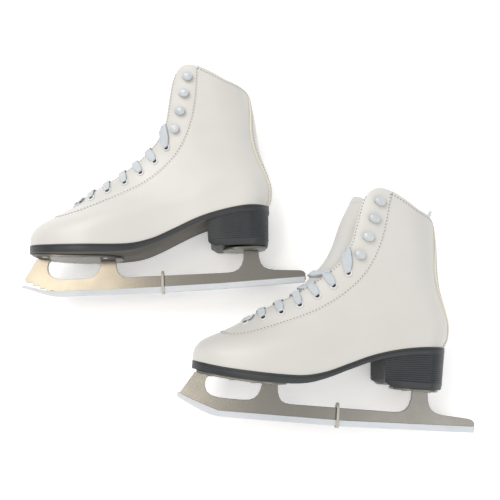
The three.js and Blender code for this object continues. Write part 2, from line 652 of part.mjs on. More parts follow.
function makeSkate(prefix, loose) {
  const skate = new THREE.Group();
  const add = (name, geometry, finish) => {
    const mesh = new THREE.Mesh(geometry, finish);
    mesh.name = `${prefix}_${name}`;
    skate.add(mesh);
    return mesh;
  };
  const { vamp, quarters, facing } = makeUpperAndFacing();
  add("vamp", vamp, MATERIALS.leather);
  add("quarter_outer", quarters[0], MATERIALS.leather);
  add("quarter_inner", quarters[1], MATERIALS.leather);
  add("facing", facing, MATERIALS.leather);
  add("lining", makeLining(), MATERIALS.lining);
  add("backstay", makeBackstay(), MATERIALS.leather);
  add("tongue_base", tonguePatch(98, CREASE_Z - CREASE_GAP, 7, loose), MATERIALS.leather);
  add("tongue_flap", tonguePatch(CREASE_Z + CREASE_GAP, 229, 6, loose), MATERIALS.leather);
  add("outsole", makeOutsole(), MATERIALS.sole);
  add("heel", makeHeel(), MATERIALS.sole);
  add("heel_lift", makeHeelLift(), MATERIALS.sole);
  add("lasting_board", makeBoard(), MATERIALS.board);
  add("footbed", makeFootbed(), MATERIALS.foam);
  add("lace", makeLace(LACE_R), MATERIALS.lace);
  const low = loose ? -1 : 1;
  add("lace_end_outer", makeFreeEnd(1, low), MATERIALS.lace);
  add("lace_end_inner", makeFreeEnd(-1, low), MATERIALS.lace);
  add("lace_hank", makeHank(low), MATERIALS.lace);
  add("blade", makeRunner(), MATERIALS.steel);
  add("toe_plate", makeToePlate(), MATERIALS.steel);
  add("heel_plate", makeHeelPlate(), MATERIALS.steel);
  add("edge_guard", makeGuard(loose), MATERIALS.guard);
  add("guard_tie", makeTie(low, TIE_X[loose]), MATERIALS.tie);
  HOOKS.forEach(([x, z], i) => {
    add(`hook_outer_${i + 1}`, makeHook(x, z, 1), MATERIALS.hook);
    add(`hook_inner_${i + 1}`, makeHook(x, z, -1), MATERIALS.hook);
  });
  return skate;
}

// Lays a skate on its side: down is the direction, in the skate's frame, that ends up facing the floor.
function layDown(skate, down, yaw, x, y) {
  const up = new THREE.Vector3(...down).normalize().negate();
  const along = new THREE.Vector3(1, 0, 0).addScaledVector(up, -up.x).normalize();
  const across = new THREE.Vector3().crossVectors(up, along);
  const turn = new THREE.Matrix4().makeBasis(along, across, up).transpose();
  const laid = new THREE.Group();
  laid.add(skate);
  laid.applyMatrix4(turn);
  laid.applyMatrix4(new THREE.Matrix4().makeRotationZ(THREE.MathUtils.degToRad(yaw)));
  const low = new THREE.Box3().setFromObject(laid, true).min.z;
  laid.position.set(x, y, -low);
  return laid;
}

const right = makeSkate("right", 0);
const left = makeSkate("left", 1);
left.scale.y = -1; // the mirror image of the right skate
pair.add(layDown(right, RIGHT_DOWN, RIGHT_YAW, RIGHT_AT[0], RIGHT_AT[1]));
pair.add(layDown(left, LEFT_DOWN, LEFT_YAW, LEFT_AT[0], LEFT_AT[1]));
const box = new THREE.Box3().setFromObject(pair, true);
const centre = box.getCenter(new THREE.Vector3());
pair.position.set(-centre.x, -centre.y, 0);
export default pair;
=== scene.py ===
# %% [markdown]
# # A pair of figure skates
# Two lace-up boots lie on their sides on a pale floor. Each boot is a stiff leather shell on a heeled
# sole, with a steel blade screwed under it and a plastic guard tied over the blade's edge. The packed
# CAD model gives the bodies and their joints, and this script makes what is seen on them.

# %% Load the frame
import math

import bmesh
import bpy
import numpy as np
from mathutils import Matrix, Vector


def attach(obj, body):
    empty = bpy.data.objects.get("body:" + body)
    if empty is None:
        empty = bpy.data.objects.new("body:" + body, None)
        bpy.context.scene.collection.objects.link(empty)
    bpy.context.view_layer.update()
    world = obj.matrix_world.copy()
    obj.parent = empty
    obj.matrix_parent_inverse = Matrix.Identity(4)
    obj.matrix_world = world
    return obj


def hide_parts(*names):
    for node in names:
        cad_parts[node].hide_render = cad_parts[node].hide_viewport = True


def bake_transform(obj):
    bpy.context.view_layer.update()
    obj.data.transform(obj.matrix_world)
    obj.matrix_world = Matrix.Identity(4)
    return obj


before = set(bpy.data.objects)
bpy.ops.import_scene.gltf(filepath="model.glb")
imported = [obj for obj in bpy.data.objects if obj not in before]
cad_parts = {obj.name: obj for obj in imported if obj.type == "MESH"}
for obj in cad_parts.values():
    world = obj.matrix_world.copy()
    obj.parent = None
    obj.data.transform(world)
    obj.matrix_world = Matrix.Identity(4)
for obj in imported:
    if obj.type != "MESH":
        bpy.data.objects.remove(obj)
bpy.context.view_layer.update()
MM = 0.001

# %% [markdown]
# The skates are looked at from above, a little from the side of the blades, as things on a table are.
# A camera close to them makes the near parts a little larger.

# %% Camera
CAMERA_AT = (0.0439, -0.1304, 0.6961)
CAMERA_TILT = (10.75, 3.13, 0.52)  # degrees about X, Y and Z
CAMERA_FIELD = math.radians(43.5)
def add_object(name, data):
    made = bpy.data.objects.new(name, data)
    bpy.context.scene.collection.objects.link(made)
    return made


camera_data = bpy.data.cameras.new("camera")
camera_data.sensor_width = 36
camera_data.lens = 18 / math.tan(CAMERA_FIELD / 2)
camera = add_object("camera", camera_data)
camera.location = CAMERA_AT
camera.rotation_euler = [math.radians(a) for a in CAMERA_TILT]
camera_data.clip_start = 0.01
bpy.context.scene.camera = camera
print("lens", round(camera_data.lens, 1), "mm")

# %% [markdown]
# Each skate has a frame of its own, in millimetres: X to the heel, Z from the blade to the collar and
# Y to the outer side of a right foot. The right skate lies on its outer side. The left one is its
# mirror image and lies on its inner side. One function lays points of either skate on the floor.

# %% Where the skates lie
def laid(down, yaw, origin, mirror):
    """3 by 3 turn and origin of a skate that lies with down facing the floor."""
    up = -np.array(down) / np.linalg.norm(down)
    along = np.array([1.0, 0, 0]) - up * up[0]
    along /= np.linalg.norm(along)
    turn = np.array([along, np.cross(up, along), up])
    c, s = math.cos(math.radians(yaw)), math.sin(math.radians(yaw))
    turn = np.array([[c, -s, 0], [s, c, 0], [0, 0, 1]]) @ turn
    if mirror:
        turn = turn @ np.diag([1, -1, 1])
    return turn, np.array(origin)


SKATES = {
    "right": laid((0.0545, 0.9978, -0.0386), 3.6, (-85.918, -49.513, 34.307), False),
    "left": laid((0.1199, 0.9926, -0.019), -3.6, (83.882, -183.913, 41.335), True),
}
LOW_SIDE = {"right": 1, "left": -1}  # the side, +Y or -Y, that is down


def to_floor(skate, points):
    """Points of a skate's own frame, in millimetres, as metres in the row frame."""
    turn, origin = SKATES[skate]
    return (np.asarray(points, float) @ turn.T + origin) * MM


def turned(skate, vectors):
    return np.asarray(vectors, float) @ SKATES[skate][0].T


# %% [markdown]
# The boot is shaped on a last. Its surface is given by a few smooth curves: the profile of the toe and
# instep, the profile of the heel and back, how wide it is, and how round it is at the front and back.

# %% Smooth curves
def curve(points):
    """Smooth curve through (position, value) points, level beyond its ends."""
    xs, ys = np.array(points, float).T
    slopes = np.empty(len(xs))
    for i in range(len(xs)):
        a, b = max(i - 1, 0), min(i + 1, len(xs) - 1)
        slopes[i] = (ys[b] - ys[a]) / (xs[b] - xs[a])

    def value(x):
        x = np.clip(np.asarray(x, float), xs[0], xs[-1])
        i = np.clip(np.searchsorted(xs, x, side="right") - 1, 0, len(xs) - 2)
        h = xs[i + 1] - xs[i]
        t = (x - xs[i]) / h
        t2, t3 = t * t, t * t * t
        return (
            (2 * t3 - 3 * t2 + 1) * ys[i]
            + (t3 - 2 * t2 + t) * h * slopes[i]
            + (3 * t2 - 2 * t3) * ys[i + 1]
            + (t3 - t2) * h * slopes[i + 1]
        )

    return value


def smooth(a, b, x):
    t = np.clip((np.asarray(x, float) - a) / (b - a), 0, 1)
    return t * t * (3 - 2 * t)


def mix(a, b, t):
    return a + (b - a) * t


print("halfway up a step from 0 to 1 is", smooth(0, 1, 0.5))


# %% [markdown]
# The last is the foot's shape that the boot is made on. Its curves give the sole's edge, the front and
# the back at each height, the half widths, and how far each end is rounded. Millimetres throughout.

# %% Curves of the last
feather_z = curve([
    (-138, 53), (-110, 49.5), (-80, 47.5), (-45, 46.5), (-25, 47.5),
    (-5, 52.5), (15, 61), (40, 71.5), (65, 78.5), (90, 82.5), (118, 84),
])
sole_thick = curve([(-138, 8), (-60, 8.5), (-25, 7.5), (0, 6.2), (118, 6.2)])
front_x = curve([
    (40, -137), (58, -138), (66, -136.5), (73, -131), (78, -123), (84, -111), (91, -98),
    (97, -88.5), (106.5, -77), (120.5, -56), (135, -37), (149.5, -21), (163, -11.5),
    (179, -6), (200, -2.5), (220, 2), (245, 7),
])
back_x = curve([
    (40, 115), (84, 117), (93, 120.5), (105, 121.5), (116, 119.5), (128, 116), (141, 112),
    (155, 109.5), (172, 108), (190, 106.5), (210, 103.5), (245, 100),
])
front_round = curve([
    (50, 72), (62, 78), (75, 100), (98, 142), (118, 150), (138, 112), (154, 66), (170, 50), (245, 45),
])
back_round = curve([(80, 28), (100, 30), (125, 33), (155, 37), (185, 41), (245, 43)])
foot_half = curve([
    (-138, 44), (-72, 44), (-55, 42.5), (-38, 39.5), (-18, 35), (2, 31.5), (25, 30), (55, 31.5), (118, 32),
])
shaft_half = curve([(60, 30), (160, 30.5), (180, 32.5), (205, 34.5), (245, 37.5)])
edge_x = curve([
    (98, -83), (106.5, -75), (120.5, -50), (135, -28), (149.5, -10), (163, 3), (179, 11),
    (200, 15.5), (220, 19.5), (231, 23.5), (245, 27),
])
collar_z = curve([
    (19, 222), (23.5, 229), (27, 235), (33, 238.5), (41, 238.5), (50, 235.5), (62, 229.5), (78, 221),
    (92, 217), (103, 213.5), (110, 210.5),
])
SEAM = [
    (-113.5, 83.3), (-110, 82.2), (-101, 80.8), (-88, 83), (-72, 88), (-52, 95.5), (-31, 104), (-11, 114.5),
    (9, 129), (24, 144.5), (35, 162.5), (42, 181), (46, 200), (48.5, 219), (50, 240),
]
seam_z = curve(SEAM)


def middle_y(x):
    return -8.5 * smooth(25, -125, x)


def full_half(x, z):
    return mix(foot_half(x), shaft_half(z), smooth(55, 150, z))


def rounding(d, length):
    return np.sqrt(np.maximum(0, 1 - (1 - np.clip(d / length, 0, 1)) ** 2))


def half_width(x, z):
    front = rounding(x - front_x(z), front_round(z))
    return full_half(x, z) * front * rounding(back_x(z) - x, back_round(z))


print("the ball is", round(float(2 * half_width(-60, 60)), 1), "mm wide")


# %% [markdown]
# A place on the boot is a turn round it and a height. From those come the point, the way out of the
# leather, and the places that the facing, the laces and the hooks need.

# %% Points of the boot's surface
def surface(turn, z):
    """Point of the outer surface. Turn 0 is the back, 0.25 the outer side and 0.5 the front."""
    angle = 2 * np.pi * turn
    x = mix(back_x(z), front_x(z), (1 - np.cos(angle)) / 2)
    side = np.where(np.sin(angle) >= 0, 1, -1)
    return np.stack([x, middle_y(x) + side * half_width(x, z), z + 0 * x], -1)


def unit(v):
    return v / np.maximum(np.linalg.norm(v, axis=-1, keepdims=True), 1e-9)


def boot_normal(turn, z):
    along = surface(turn + 0.004, z) - surface(turn - 0.004, z)
    return unit(np.cross(along, surface(turn, z + 0.5) - surface(turn, z - 0.5)))


def boot_point(turn, z, distance):
    turn, z = np.broadcast_arrays(np.asarray(turn, float), np.asarray(z, float))
    return surface(turn, z) + boot_normal(turn, z) * np.asarray(distance)[..., None]


def turn_at(x, z):
    """Turn, on the outer side, of the place at x and z."""
    share = (x - back_x(z)) / (front_x(z) - back_x(z))
    return np.arccos(np.clip(1 - 2 * share, -1, 1)) / (2 * np.pi)


def side_point(x, z, side, distance):
    """Place on the boot's side, side 1 for +Y, with its outward normal."""
    def at(px, pz):
        return np.array([px, float(middle_y(px) + side * half_width(px, pz)), pz])

    normal = unit(np.cross(at(x, z + 1) - at(x, z - 1), at(x + 1, z) - at(x - 1, z))) * side
    return at(x, z) + normal * distance, normal


def edge_frame(z):
    """Place between the facings at height z, and the direction out of the throat."""
    dx = float(edge_x(z + 1) - edge_x(z - 1))
    x = float(edge_x(z))
    return np.array([x, float(middle_y(x)), z]), unit(np.array([-2.0, 0, dx]))


def throat_half(z):
    return float(half_width(edge_x(z), z))


def edge_point(z, side, inward, distance):
    at, normal = edge_frame(z)
    return at + np.array([0, side * (throat_half(z) - inward), 0]) + normal * distance


# %% [markdown]
# Most pieces are grids of points: a sheet of leather is an outer grid and an inner grid joined round
# their edges. These helpers turn grids and swept sections into closed meshes that face outwards.

# %% Mesh helpers
pieces = {}


def add_piece(name, mesh, material, sharp):
    """Makes a mesh into a smooth-shaded piece, with faces that meet over sharp degrees kept apart."""
    mesh.name = name
    mesh.polygons.foreach_set("use_smooth", [True] * len(mesh.polygons))
    mesh.set_sharp_from_angle(angle=math.radians(sharp))
    if not mesh.materials:
        mesh.materials.append(material)
    pieces[name] = add_object(name, mesh)
    return pieces[name]


def cleaned(mesh, *steps):
    """Runs bmesh steps on a mesh after its doubled points are merged."""
    bm = bmesh.new()
    bm.from_mesh(mesh)
    bmesh.ops.remove_doubles(bm, verts=bm.verts, dist=2e-6)
    for step in steps:
        step(bm)
    bm.to_mesh(mesh)
    bm.free()


def mesh_piece(name, points, faces, material, sharp=40):
    mesh = bpy.data.meshes.new(name)
    mesh.from_pydata([tuple(p) for p in points], [], faces)
    cleaned(mesh, lambda bm: bmesh.ops.dissolve_degenerate(bm, edges=bm.edges, dist=1e-7),
            lambda bm: bmesh.ops.recalc_face_normals(bm, faces=bm.faces))
    return add_piece(name, mesh, material, sharp)


def grid_faces(rows, columns, closed, start=0, flip=False):
    faces = []
    for r in range(rows - 1):
        for c in range(columns if closed else columns - 1):
            d = (c + 1) % columns
            a, b = start + r * columns, start + (r + 1) * columns
            face = (a + c, a + d, b + d, b + c)
            faces.append(face[::-1] if flip else face)
    return faces


def sheet_faces(rows, columns, closed):
    """Faces of a closed sheet: an outer grid, then an inner grid of the same size, joined at the rim."""
    count = rows * columns
    faces = grid_faces(rows, columns, closed) + grid_faces(rows, columns, closed, count, True)
    for r in (0, rows - 1):
        for c in range(columns if closed else columns - 1):
            a, b = r * columns + c, r * columns + (c + 1) % columns
            faces.append((a, a + count, b + count, b) if r == 0 else (b, b + count, a + count, a))
    for c in () if closed else (0, columns - 1):
        for r in range(rows - 1):
            a, b = r * columns + c, (r + 1) * columns + c
            faces.append((b, b + count, a + count, a) if c == 0 else (a, a + count, b + count, b))
    return faces


def leather_sheet(name, skate, outer, inner, closed, material, sharp=40):
    """Closed sheet between two grids of points, [row][column], in the skate's frame."""
    points = np.concatenate([outer.reshape(-1, 3), inner.reshape(-1, 3)])
    return mesh_piece(name, to_floor(skate, points), sheet_faces(*outer.shape[:2], closed), material, sharp)


def stack(name, skate, rings, material, sharp):
    """Solid through rings of points, [ring][point], in the skate's frame, closed at both ends."""
    rings = np.array(rings, float)
    count, n = rings.shape[:2]
    faces = grid_faces(count, n, True)
    faces += [tuple(range(n)), tuple(range((count - 1) * n, count * n))[::-1]]
    return mesh_piece(name, to_floor(skate, rings.reshape(-1, 3)), faces, material, sharp)


def sweep(name, skate, path, wide, up, section, material, sharp=50):
    """Section (n, 2) swept along path: its first axis is wide, its second is up."""
    section = np.broadcast_to(section, (len(path), *np.shape(section)[-2:]))
    rings = path[:, None] + section[..., :1] * wide[:, None] + section[..., 1:] * up[:, None]
    return stack(name, skate, rings, material, sharp)


print("a sheet of 3 by 4 points has", len(sheet_faces(3, 4, False)), "faces")


# %% [markdown]
# Piping and laces are sections swept along lines. Each line is rounded, and it carries two directions:
# across the section and out of it.

# %% Sections and lines
def ring_section(radius, sides=10, flat=1.0):
    a = np.linspace(0, 2 * np.pi, sides, endpoint=False)
    return np.stack([radius * np.cos(a), radius * flat * np.sin(a)], -1)


def frames_along(path, up):
    """Directions across and out of a path, from the direction that should point out."""
    path, up = np.asarray(path, float), np.asarray(up, float)
    tangent = unit(np.gradient(path, axis=0))
    wide = unit(np.cross(tangent, up))
    return wide, unit(np.cross(wide, tangent))


def line_length(line):
    """Distance along a line at each of its points."""
    return np.concatenate([[0], np.cumsum(np.linalg.norm(np.diff(line, axis=0), axis=1))])


def rounded(path, per):
    """Smooth line through the points, with per steps between each two."""
    p = np.asarray(path, float)
    p = np.vstack([2 * p[0] - p[1], p, 2 * p[-1] - p[-2]])
    out = []
    for i in range(1, len(p) - 2):
        for t in np.linspace(0, 1, per, endpoint=False):
            a, b, c, d = p[i - 1 : i + 3]
            out.append(0.5 * (2 * b + (c - a) * t + (2 * a - 5 * b + 4 * c - d) * t**2
                              + (3 * b - a - 3 * c + d) * t**3))
    out.append(p[-2])
    return np.array(out)


# %% [markdown]
# The finishes share three effects, each a node group. One is the fine pebbled grain of leather, one
# the crossed threads of cloth and lace, and one a soft mottling that stands for handling and dust.

# %% Shader groups
def node_tree(name, kind, inputs, outputs):
    """New node tree with (name, socket type, value) inputs and (name, socket type) outputs."""
    tree = bpy.data.node_groups.new(name, kind)
    for label, socket_type, value in inputs:
        socket = tree.interface.new_socket(label, in_out="INPUT", socket_type="NodeSocket" + socket_type)
        if value is not None:
            socket.default_value = value
    for label, socket_type in outputs:
        tree.interface.new_socket(label, in_out="OUTPUT", socket_type="NodeSocket" + socket_type)
    return tree, tree.nodes.new("NodeGroupInput").outputs, tree.nodes.new("NodeGroupOutput").inputs


def shader_group(name, inputs, outputs):
    return node_tree(name, "ShaderNodeTree", [("Vector", "Vector", None), *inputs], outputs)


def add_node(tree, kind, links=(), **values):
    """Adds a node, sets its properties and plain inputs, and links (source, input) pairs to it."""
    node = tree.nodes.new(kind)
    for key, value in values.items():
        if hasattr(node, key):
            setattr(node, key, value)
        else:
            node.inputs[key.replace("_", " ")].default_value = value
    for source, target in links:
        tree.links.new(source, node.inputs[target])
    return node


def maths(tree, operation, a, b=None, clamp=False):
    node = tree.nodes.new("ShaderNodeMath")
    node.operation, node.use_clamp = operation, clamp
    for i, value in enumerate((a, b)):
        if value is None:
            continue
        if isinstance(value, (int, float)):
            node.inputs[i].default_value = value
        else:
            tree.links.new(value, node.inputs[i])
    return node.outputs[0]


print("small helpers make the node trees")


# %% [markdown]
# Four reliefs serve every finish: pebbled leather, mottling, crossed threads and brushed lines.

# %% Reliefs
def make_grain_group():
    tree, given, result = shader_group(
        "Leather grain", [("Scale", "Float", 900.0), ("Creases", "Float", 0.4)], [("Height", "Float")])
    where = (given["Vector"], "Vector")
    cells = add_node(tree, "ShaderNodeTexVoronoi", [where, (given["Scale"], "Scale")], feature="SMOOTH_F1")
    fine = add_node(tree, "ShaderNodeTexNoise", [where], Scale=260.0, Detail=4.0)
    wide = add_node(tree, "ShaderNodeTexNoise", [where], Scale=45.0, Detail=3.0)
    pebbles = maths(tree, "MULTIPLY", cells.outputs["Distance"], 0.55)
    both = maths(tree, "ADD", pebbles, maths(tree, "MULTIPLY", fine.outputs["Fac"], 0.5))
    creases = maths(tree, "MULTIPLY", wide.outputs["Fac"], given["Creases"])
    tree.links.new(maths(tree, "ADD", both, creases), result["Height"])
    return tree


def make_mottle_group():
    tree, given, result = shader_group(
        "Mottling",
        [("Scale", "Float", 14.0), ("Clean", "Color", (0.8, 0.8, 0.8, 1)), ("Worn", "Color", (0.6, 0.6, 0.6, 1))],
        [("Color", "Color"), ("Mask", "Float")])
    noise = add_node(tree, "ShaderNodeTexNoise", [(given["Vector"], "Vector"), (given["Scale"], "Scale")],
                     Detail=5.0, Roughness=0.6)
    ramp = add_node(tree, "ShaderNodeMapRange", [(noise.outputs["Fac"], "Value")], From_Min=0.4, From_Max=0.72)
    blend = add_node(tree, "ShaderNodeMix", data_type="RGBA")
    # Inputs 6 and 7 and output 2 of a Mix node are its colours.
    for source, target in ((ramp.outputs["Result"], blend.inputs["Factor"]), (given["Clean"], blend.inputs[6]),
                           (given["Worn"], blend.inputs[7]), (blend.outputs[2], result["Color"]),
                           (ramp.outputs["Result"], result["Mask"])):
        tree.links.new(source, target)
    return tree


def make_weave_group():
    tree, given, result = shader_group("Crossed threads", [("Scale", "Float", 700.0)], [("Height", "Float")])
    waves = [
        add_node(tree, "ShaderNodeTexWave", [(given["Vector"], "Vector"), (given["Scale"], "Scale")],
                 wave_type="BANDS", bands_direction=axis, Distortion=0.6).outputs["Fac"]
        for axis in ("X", "Y")
    ]
    tree.links.new(maths(tree, "MAXIMUM", *waves), result["Height"])
    return tree


def make_brush_group():
    tree, given, result = shader_group("Brushed lines", [("Scale", "Float", 1500.0)], [("Height", "Float")])
    drawn = add_node(tree, "ShaderNodeVectorMath", [(given["Vector"], 0)], operation="MULTIPLY")
    drawn.inputs[1].default_value = (0.02, 1.0, 1.0)
    lines = add_node(tree, "ShaderNodeTexNoise", [(drawn.outputs[0], "Vector"), (given["Scale"], "Scale")], Detail=4.0)
    tree.links.new(lines.outputs["Fac"], result["Height"])
    return tree


GRAIN, MOTTLE, WEAVE, BRUSH = make_grain_group(), make_mottle_group(), make_weave_group(), make_brush_group()


# %% Finishes of leather and cloth
def finish_of(name, clean, worn, rough, relief=None, relief_scale=900.0, relief_height=0.0001, strength=0.4,
              mottle_scale=14.0, metal=0.0, uv=False, **extra):
    """Material with a mottled colour and a relief: relief is a group or None."""
    material = bpy.data.materials.new(name)
    material.use_nodes = True
    tree = material.node_tree
    shader = tree.nodes["Principled BSDF"]
    where = tree.nodes.new("ShaderNodeTexCoord").outputs["UV" if uv else "Object"]
    solid = tree.nodes.new("ShaderNodeTexCoord").outputs["Object"]
    mottle = add_node(tree, "ShaderNodeGroup", node_tree=MOTTLE)
    tree.links.new(solid, mottle.inputs["Vector"])
    mottle.inputs["Scale"].default_value = mottle_scale
    mottle.inputs["Clean"].default_value = (*clean, 1)
    mottle.inputs["Worn"].default_value = (*worn, 1)
    tree.links.new(mottle.outputs["Color"], shader.inputs["Base Color"])
    wear = maths(tree, "MULTIPLY", mottle.outputs["Mask"], 0.03 if metal else 0.12)
    tree.links.new(maths(tree, "ADD", wear, rough), shader.inputs["Roughness"])
    shader.inputs["Metallic"].default_value = metal
    for key, value in extra.items():
        shader.inputs[key.replace("_", " ")].default_value = value
    if relief is not None:
        made = add_node(tree, "ShaderNodeGroup", node_tree=relief)
        tree.links.new(where, made.inputs["Vector"])
        made.inputs["Scale"].default_value = relief_scale
        bump = add_node(tree, "ShaderNodeBump", [(made.outputs["Height"], "Height")],
                        Strength=strength, Distance=relief_height)
        tree.links.new(bump.outputs["Normal"], shader.inputs["Normal"])
    return material


LEATHER = finish_of("white coated leather", (0.60, 0.59, 0.565), (0.56, 0.55, 0.52), 0.36, GRAIN, 950, 0.00012, 0.35, 9,
                    Coat_Weight=0.12, Coat_Roughness=0.35)
TONGUE_LEATHER = finish_of("soft tongue leather", (0.59, 0.585, 0.56), (0.54, 0.53, 0.505), 0.5,
                           GRAIN, 800, 0.00016, 0.5, 12)
PIPING = finish_of("cream piping", (0.70, 0.665, 0.55), (0.64, 0.60, 0.49), 0.5, GRAIN, 1500, 0.00006, 0.3)
THREAD = finish_of("sewing thread", (0.27, 0.26, 0.24), (0.20, 0.195, 0.18), 0.7)
LINING = finish_of("brushed lining", (0.66, 0.64, 0.60), (0.58, 0.56, 0.52), 0.9, WEAVE, 900, 0.00008, 0.5)
LACE = finish_of("woven lace", (0.56, 0.60, 0.64), (0.50, 0.545, 0.585), 0.85, WEAVE, 1.0, 0.00012, 0.6, 60, uv=True)
FOOTBED = finish_of("footbed cloth", (0.6, 0.59, 0.56), (0.5, 0.49, 0.46), 0.95, WEAVE, 700, 0.0001, 0.6)
BOARD = finish_of("lasting board", (0.42, 0.31, 0.2), (0.33, 0.24, 0.15), 0.9, GRAIN, 400, 0.0001, 0.4)
print(len(bpy.data.materials), "finishes of leather and cloth")


# %% [markdown]
# The sole is charcoal with a brown lower face. The metal is brushed along the blade, and the guard is
# milky, so that the edge shows through it a little.

# %% Finishes of sole, metal and plastic
SOLE = finish_of("charcoal sole", (0.016, 0.020, 0.024), (0.034, 0.038, 0.041), 0.42, GRAIN, 700, 0.00008, 0.3, 18)
SOLE_FACE = finish_of("brown sole face", (0.10, 0.09, 0.075), (0.075, 0.068, 0.06), 0.6, GRAIN, 600, 0.0001, 0.4, 18)
STEEL = finish_of("brushed blade steel", (0.255, 0.245, 0.22), (0.23, 0.22, 0.20), 0.25,
                  BRUSH, 1500, 0.00003, 0.5, 25, metal=1.0)
PLATE = finish_of("satin plate steel", (0.24, 0.23, 0.21), (0.19, 0.18, 0.165), 0.33,
                  GRAIN, 500, 0.00003, 0.2, 25, metal=1.0)
GUARD = finish_of("milky guard plastic", (0.60, 0.63, 0.665), (0.55, 0.58, 0.61), 0.3, None, mottle_scale=30,
                  Subsurface_Weight=0.25, Subsurface_Scale=0.002)
TIE = finish_of("nylon tie", (0.48, 0.46, 0.40), (0.42, 0.40, 0.35), 0.35, None)
ENAMEL = finish_of("hook enamel", (0.52, 0.55, 0.57), (0.44, 0.47, 0.49), 0.13, None, mottle_scale=60, Coat_Weight=0.4)
BRASSY = finish_of("eyelet enamel", (0.68, 0.68, 0.67), (0.55, 0.55, 0.54), 0.3, None, mottle_scale=80, Coat_Weight=0.3)
# Painted shade: the dark colour of a disc that stands for the shadow inside an eyelet's hole.
PAINTED_HOLE_SHADE = finish_of("painted shade of a hole", (0.05, 0.055, 0.06), (0.03, 0.03, 0.035), 0.8)
AGLET = finish_of("lace tip plastic", (0.62, 0.66, 0.70), (0.52, 0.56, 0.60), 0.2, None)
SCREW = finish_of("zinc screw", (0.5, 0.49, 0.46), (0.38, 0.37, 0.35), 0.3, None, metal=1.0)
print(len(bpy.data.materials), "finishes")


# %% [markdown]
# Stitches repeat, so a Geometry Nodes tree lays them along a line.

# %% Tree that lays stitches
def geometry_tree(name, inputs):
    return node_tree(name, "GeometryNodeTree", [("Geometry", "Geometry", None), *inputs], [("Geometry", "Geometry")])


def end_tree(tree, given, result, geometry):
    real = add_node(tree, "GeometryNodeRealizeInstances", [(geometry, "Geometry")])
    painted = add_node(tree, "GeometryNodeSetMaterial",
                       [(real.outputs[0], "Geometry"), (given["Material"], "Material")])
    tree.links.new(painted.outputs[0], result[0])


def make_stitch_tree():
    tree, given, result = geometry_tree("Stitches", [
        ("Pitch", "Float", 0.0034), ("Half length", "Float", 0.0008), ("Radius", "Float", 0.0005),
        ("Material", "Material", None)])
    line = add_node(tree, "GeometryNodeMeshToCurve", [(given["Geometry"], "Mesh")])
    spaced = add_node(tree, "GeometryNodeResampleCurve",
                      [(line.outputs[0], "Curve"), (given["Pitch"], "Length")], mode="LENGTH")
    ball = add_node(tree, "GeometryNodeMeshUVSphere", Segments=6, Rings=4, Radius=1.0)
    size = add_node(tree, "ShaderNodeCombineXYZ",
                    [(given["Radius"], "X"), (given["Radius"], "Y"), (given["Half length"], "Z")])
    tangent = tree.nodes.new("GeometryNodeInputTangent")
    turn = add_node(tree, "FunctionNodeAlignRotationToVector", [(tangent.outputs[0], "Vector")], axis="Z")
    put = add_node(tree, "GeometryNodeInstanceOnPoints",
                   [(spaced.outputs[0], "Points"), (ball.outputs[0], "Instance"), (turn.outputs[0], "Rotation"),
                    (size.outputs[0], "Scale")])
    end_tree(tree, given, result, put.outputs[0])
    return tree


STITCHES = make_stitch_tree()
print(len(STITCHES.nodes), "nodes lay the stitches")


# %% [markdown]
# Eyelets, hooks and screws repeat too. Another tree stands a piece on each of a set of points, turned
# by two directions stored with the points.

# %% Tree that stands pieces
def make_stand_tree():
    tree, given, result = geometry_tree("Stand pieces on points", [
        ("Piece", "Object", None), ("Material", "Material", None)])
    shape = add_node(tree, "GeometryNodeObjectInfo", [(given["Piece"], "Object")])
    aims = [
        add_node(tree, "GeometryNodeInputNamedAttribute", data_type="FLOAT_VECTOR", Name=label).outputs[0]
        for label in ("aim", "side")
    ]
    turn = add_node(tree, "FunctionNodeAxesToRotation", [(aims[0], "Primary Axis"), (aims[1], "Secondary Axis")],
                    primary_axis="Z", secondary_axis="X")
    put = add_node(tree, "GeometryNodeInstanceOnPoints",
                   [(given["Geometry"], "Points"), (shape.outputs["Geometry"], "Instance"),
                    (turn.outputs[0], "Rotation")])
    end_tree(tree, given, result, put.outputs[0])
    return tree


STAND = make_stand_tree()
print(len(STAND.nodes), "nodes stand the fittings")


# %% [markdown]
# A tree runs on a seed mesh, a line or a few points, and its result is kept as a plain mesh.

# %% Pieces grown by a tree
def grow(name, seed_mesh, tree, material, **inputs):
    """Runs a tree on a seed mesh and keeps the result as a plain mesh."""
    seed = add_object(name + "_seed", seed_mesh)
    modifier = seed.modifiers.new("tree", "NODES")
    modifier.node_group = tree
    sockets = {s.name: s.identifier for s in tree.interface.items_tree if s.in_out == "INPUT"}
    modifier[sockets["Material"]] = material
    for key, value in inputs.items():
        modifier[sockets[key]] = value
    bpy.context.view_layer.update()
    seed.update_tag()
    graph = bpy.context.evaluated_depsgraph_get()
    mesh = bpy.data.meshes.new_from_object(seed.evaluated_get(graph))
    bpy.data.objects.remove(seed)
    return add_piece(name, mesh, material, 40)


def stitch_lines(name, skate, lines):
    """Stitches along lines of points in the skate's frame."""
    mesh = bpy.data.meshes.new(name + "_seed")
    points, edges = [], []
    for line in lines:
        start = len(points)
        points += [tuple(p) for p in to_floor(skate, line)]
        edges += [(start + i, start + i + 1) for i in range(len(line) - 1)]
    mesh.from_pydata(points, edges, [])
    return grow(name, mesh, STITCHES, THREAD)


def stand(name, skate, shape, spots, material):
    """Stands shape, an object, on (point, aim, side) spots of the skate's frame."""
    mesh = bpy.data.meshes.new(name + "_seed")
    mesh.from_pydata([tuple(p) for p in to_floor(skate, [s[0] for s in spots])], [], [])
    for k, label in ((1, "aim"), (2, "side")):
        attribute = mesh.attributes.new(label, "FLOAT_VECTOR", "POINT")
        attribute.data.foreach_set("vector", turned(skate, [s[k] for s in spots]).astype(np.float32).ravel())
    return grow(name, mesh, STAND, material, Piece=shape)


# %% [markdown]
# The upper is one leather shell from the sole's edge to the collar. Its top follows the collar behind
# and the seam of the facing in front, so each column of points runs from the sole up to that line.

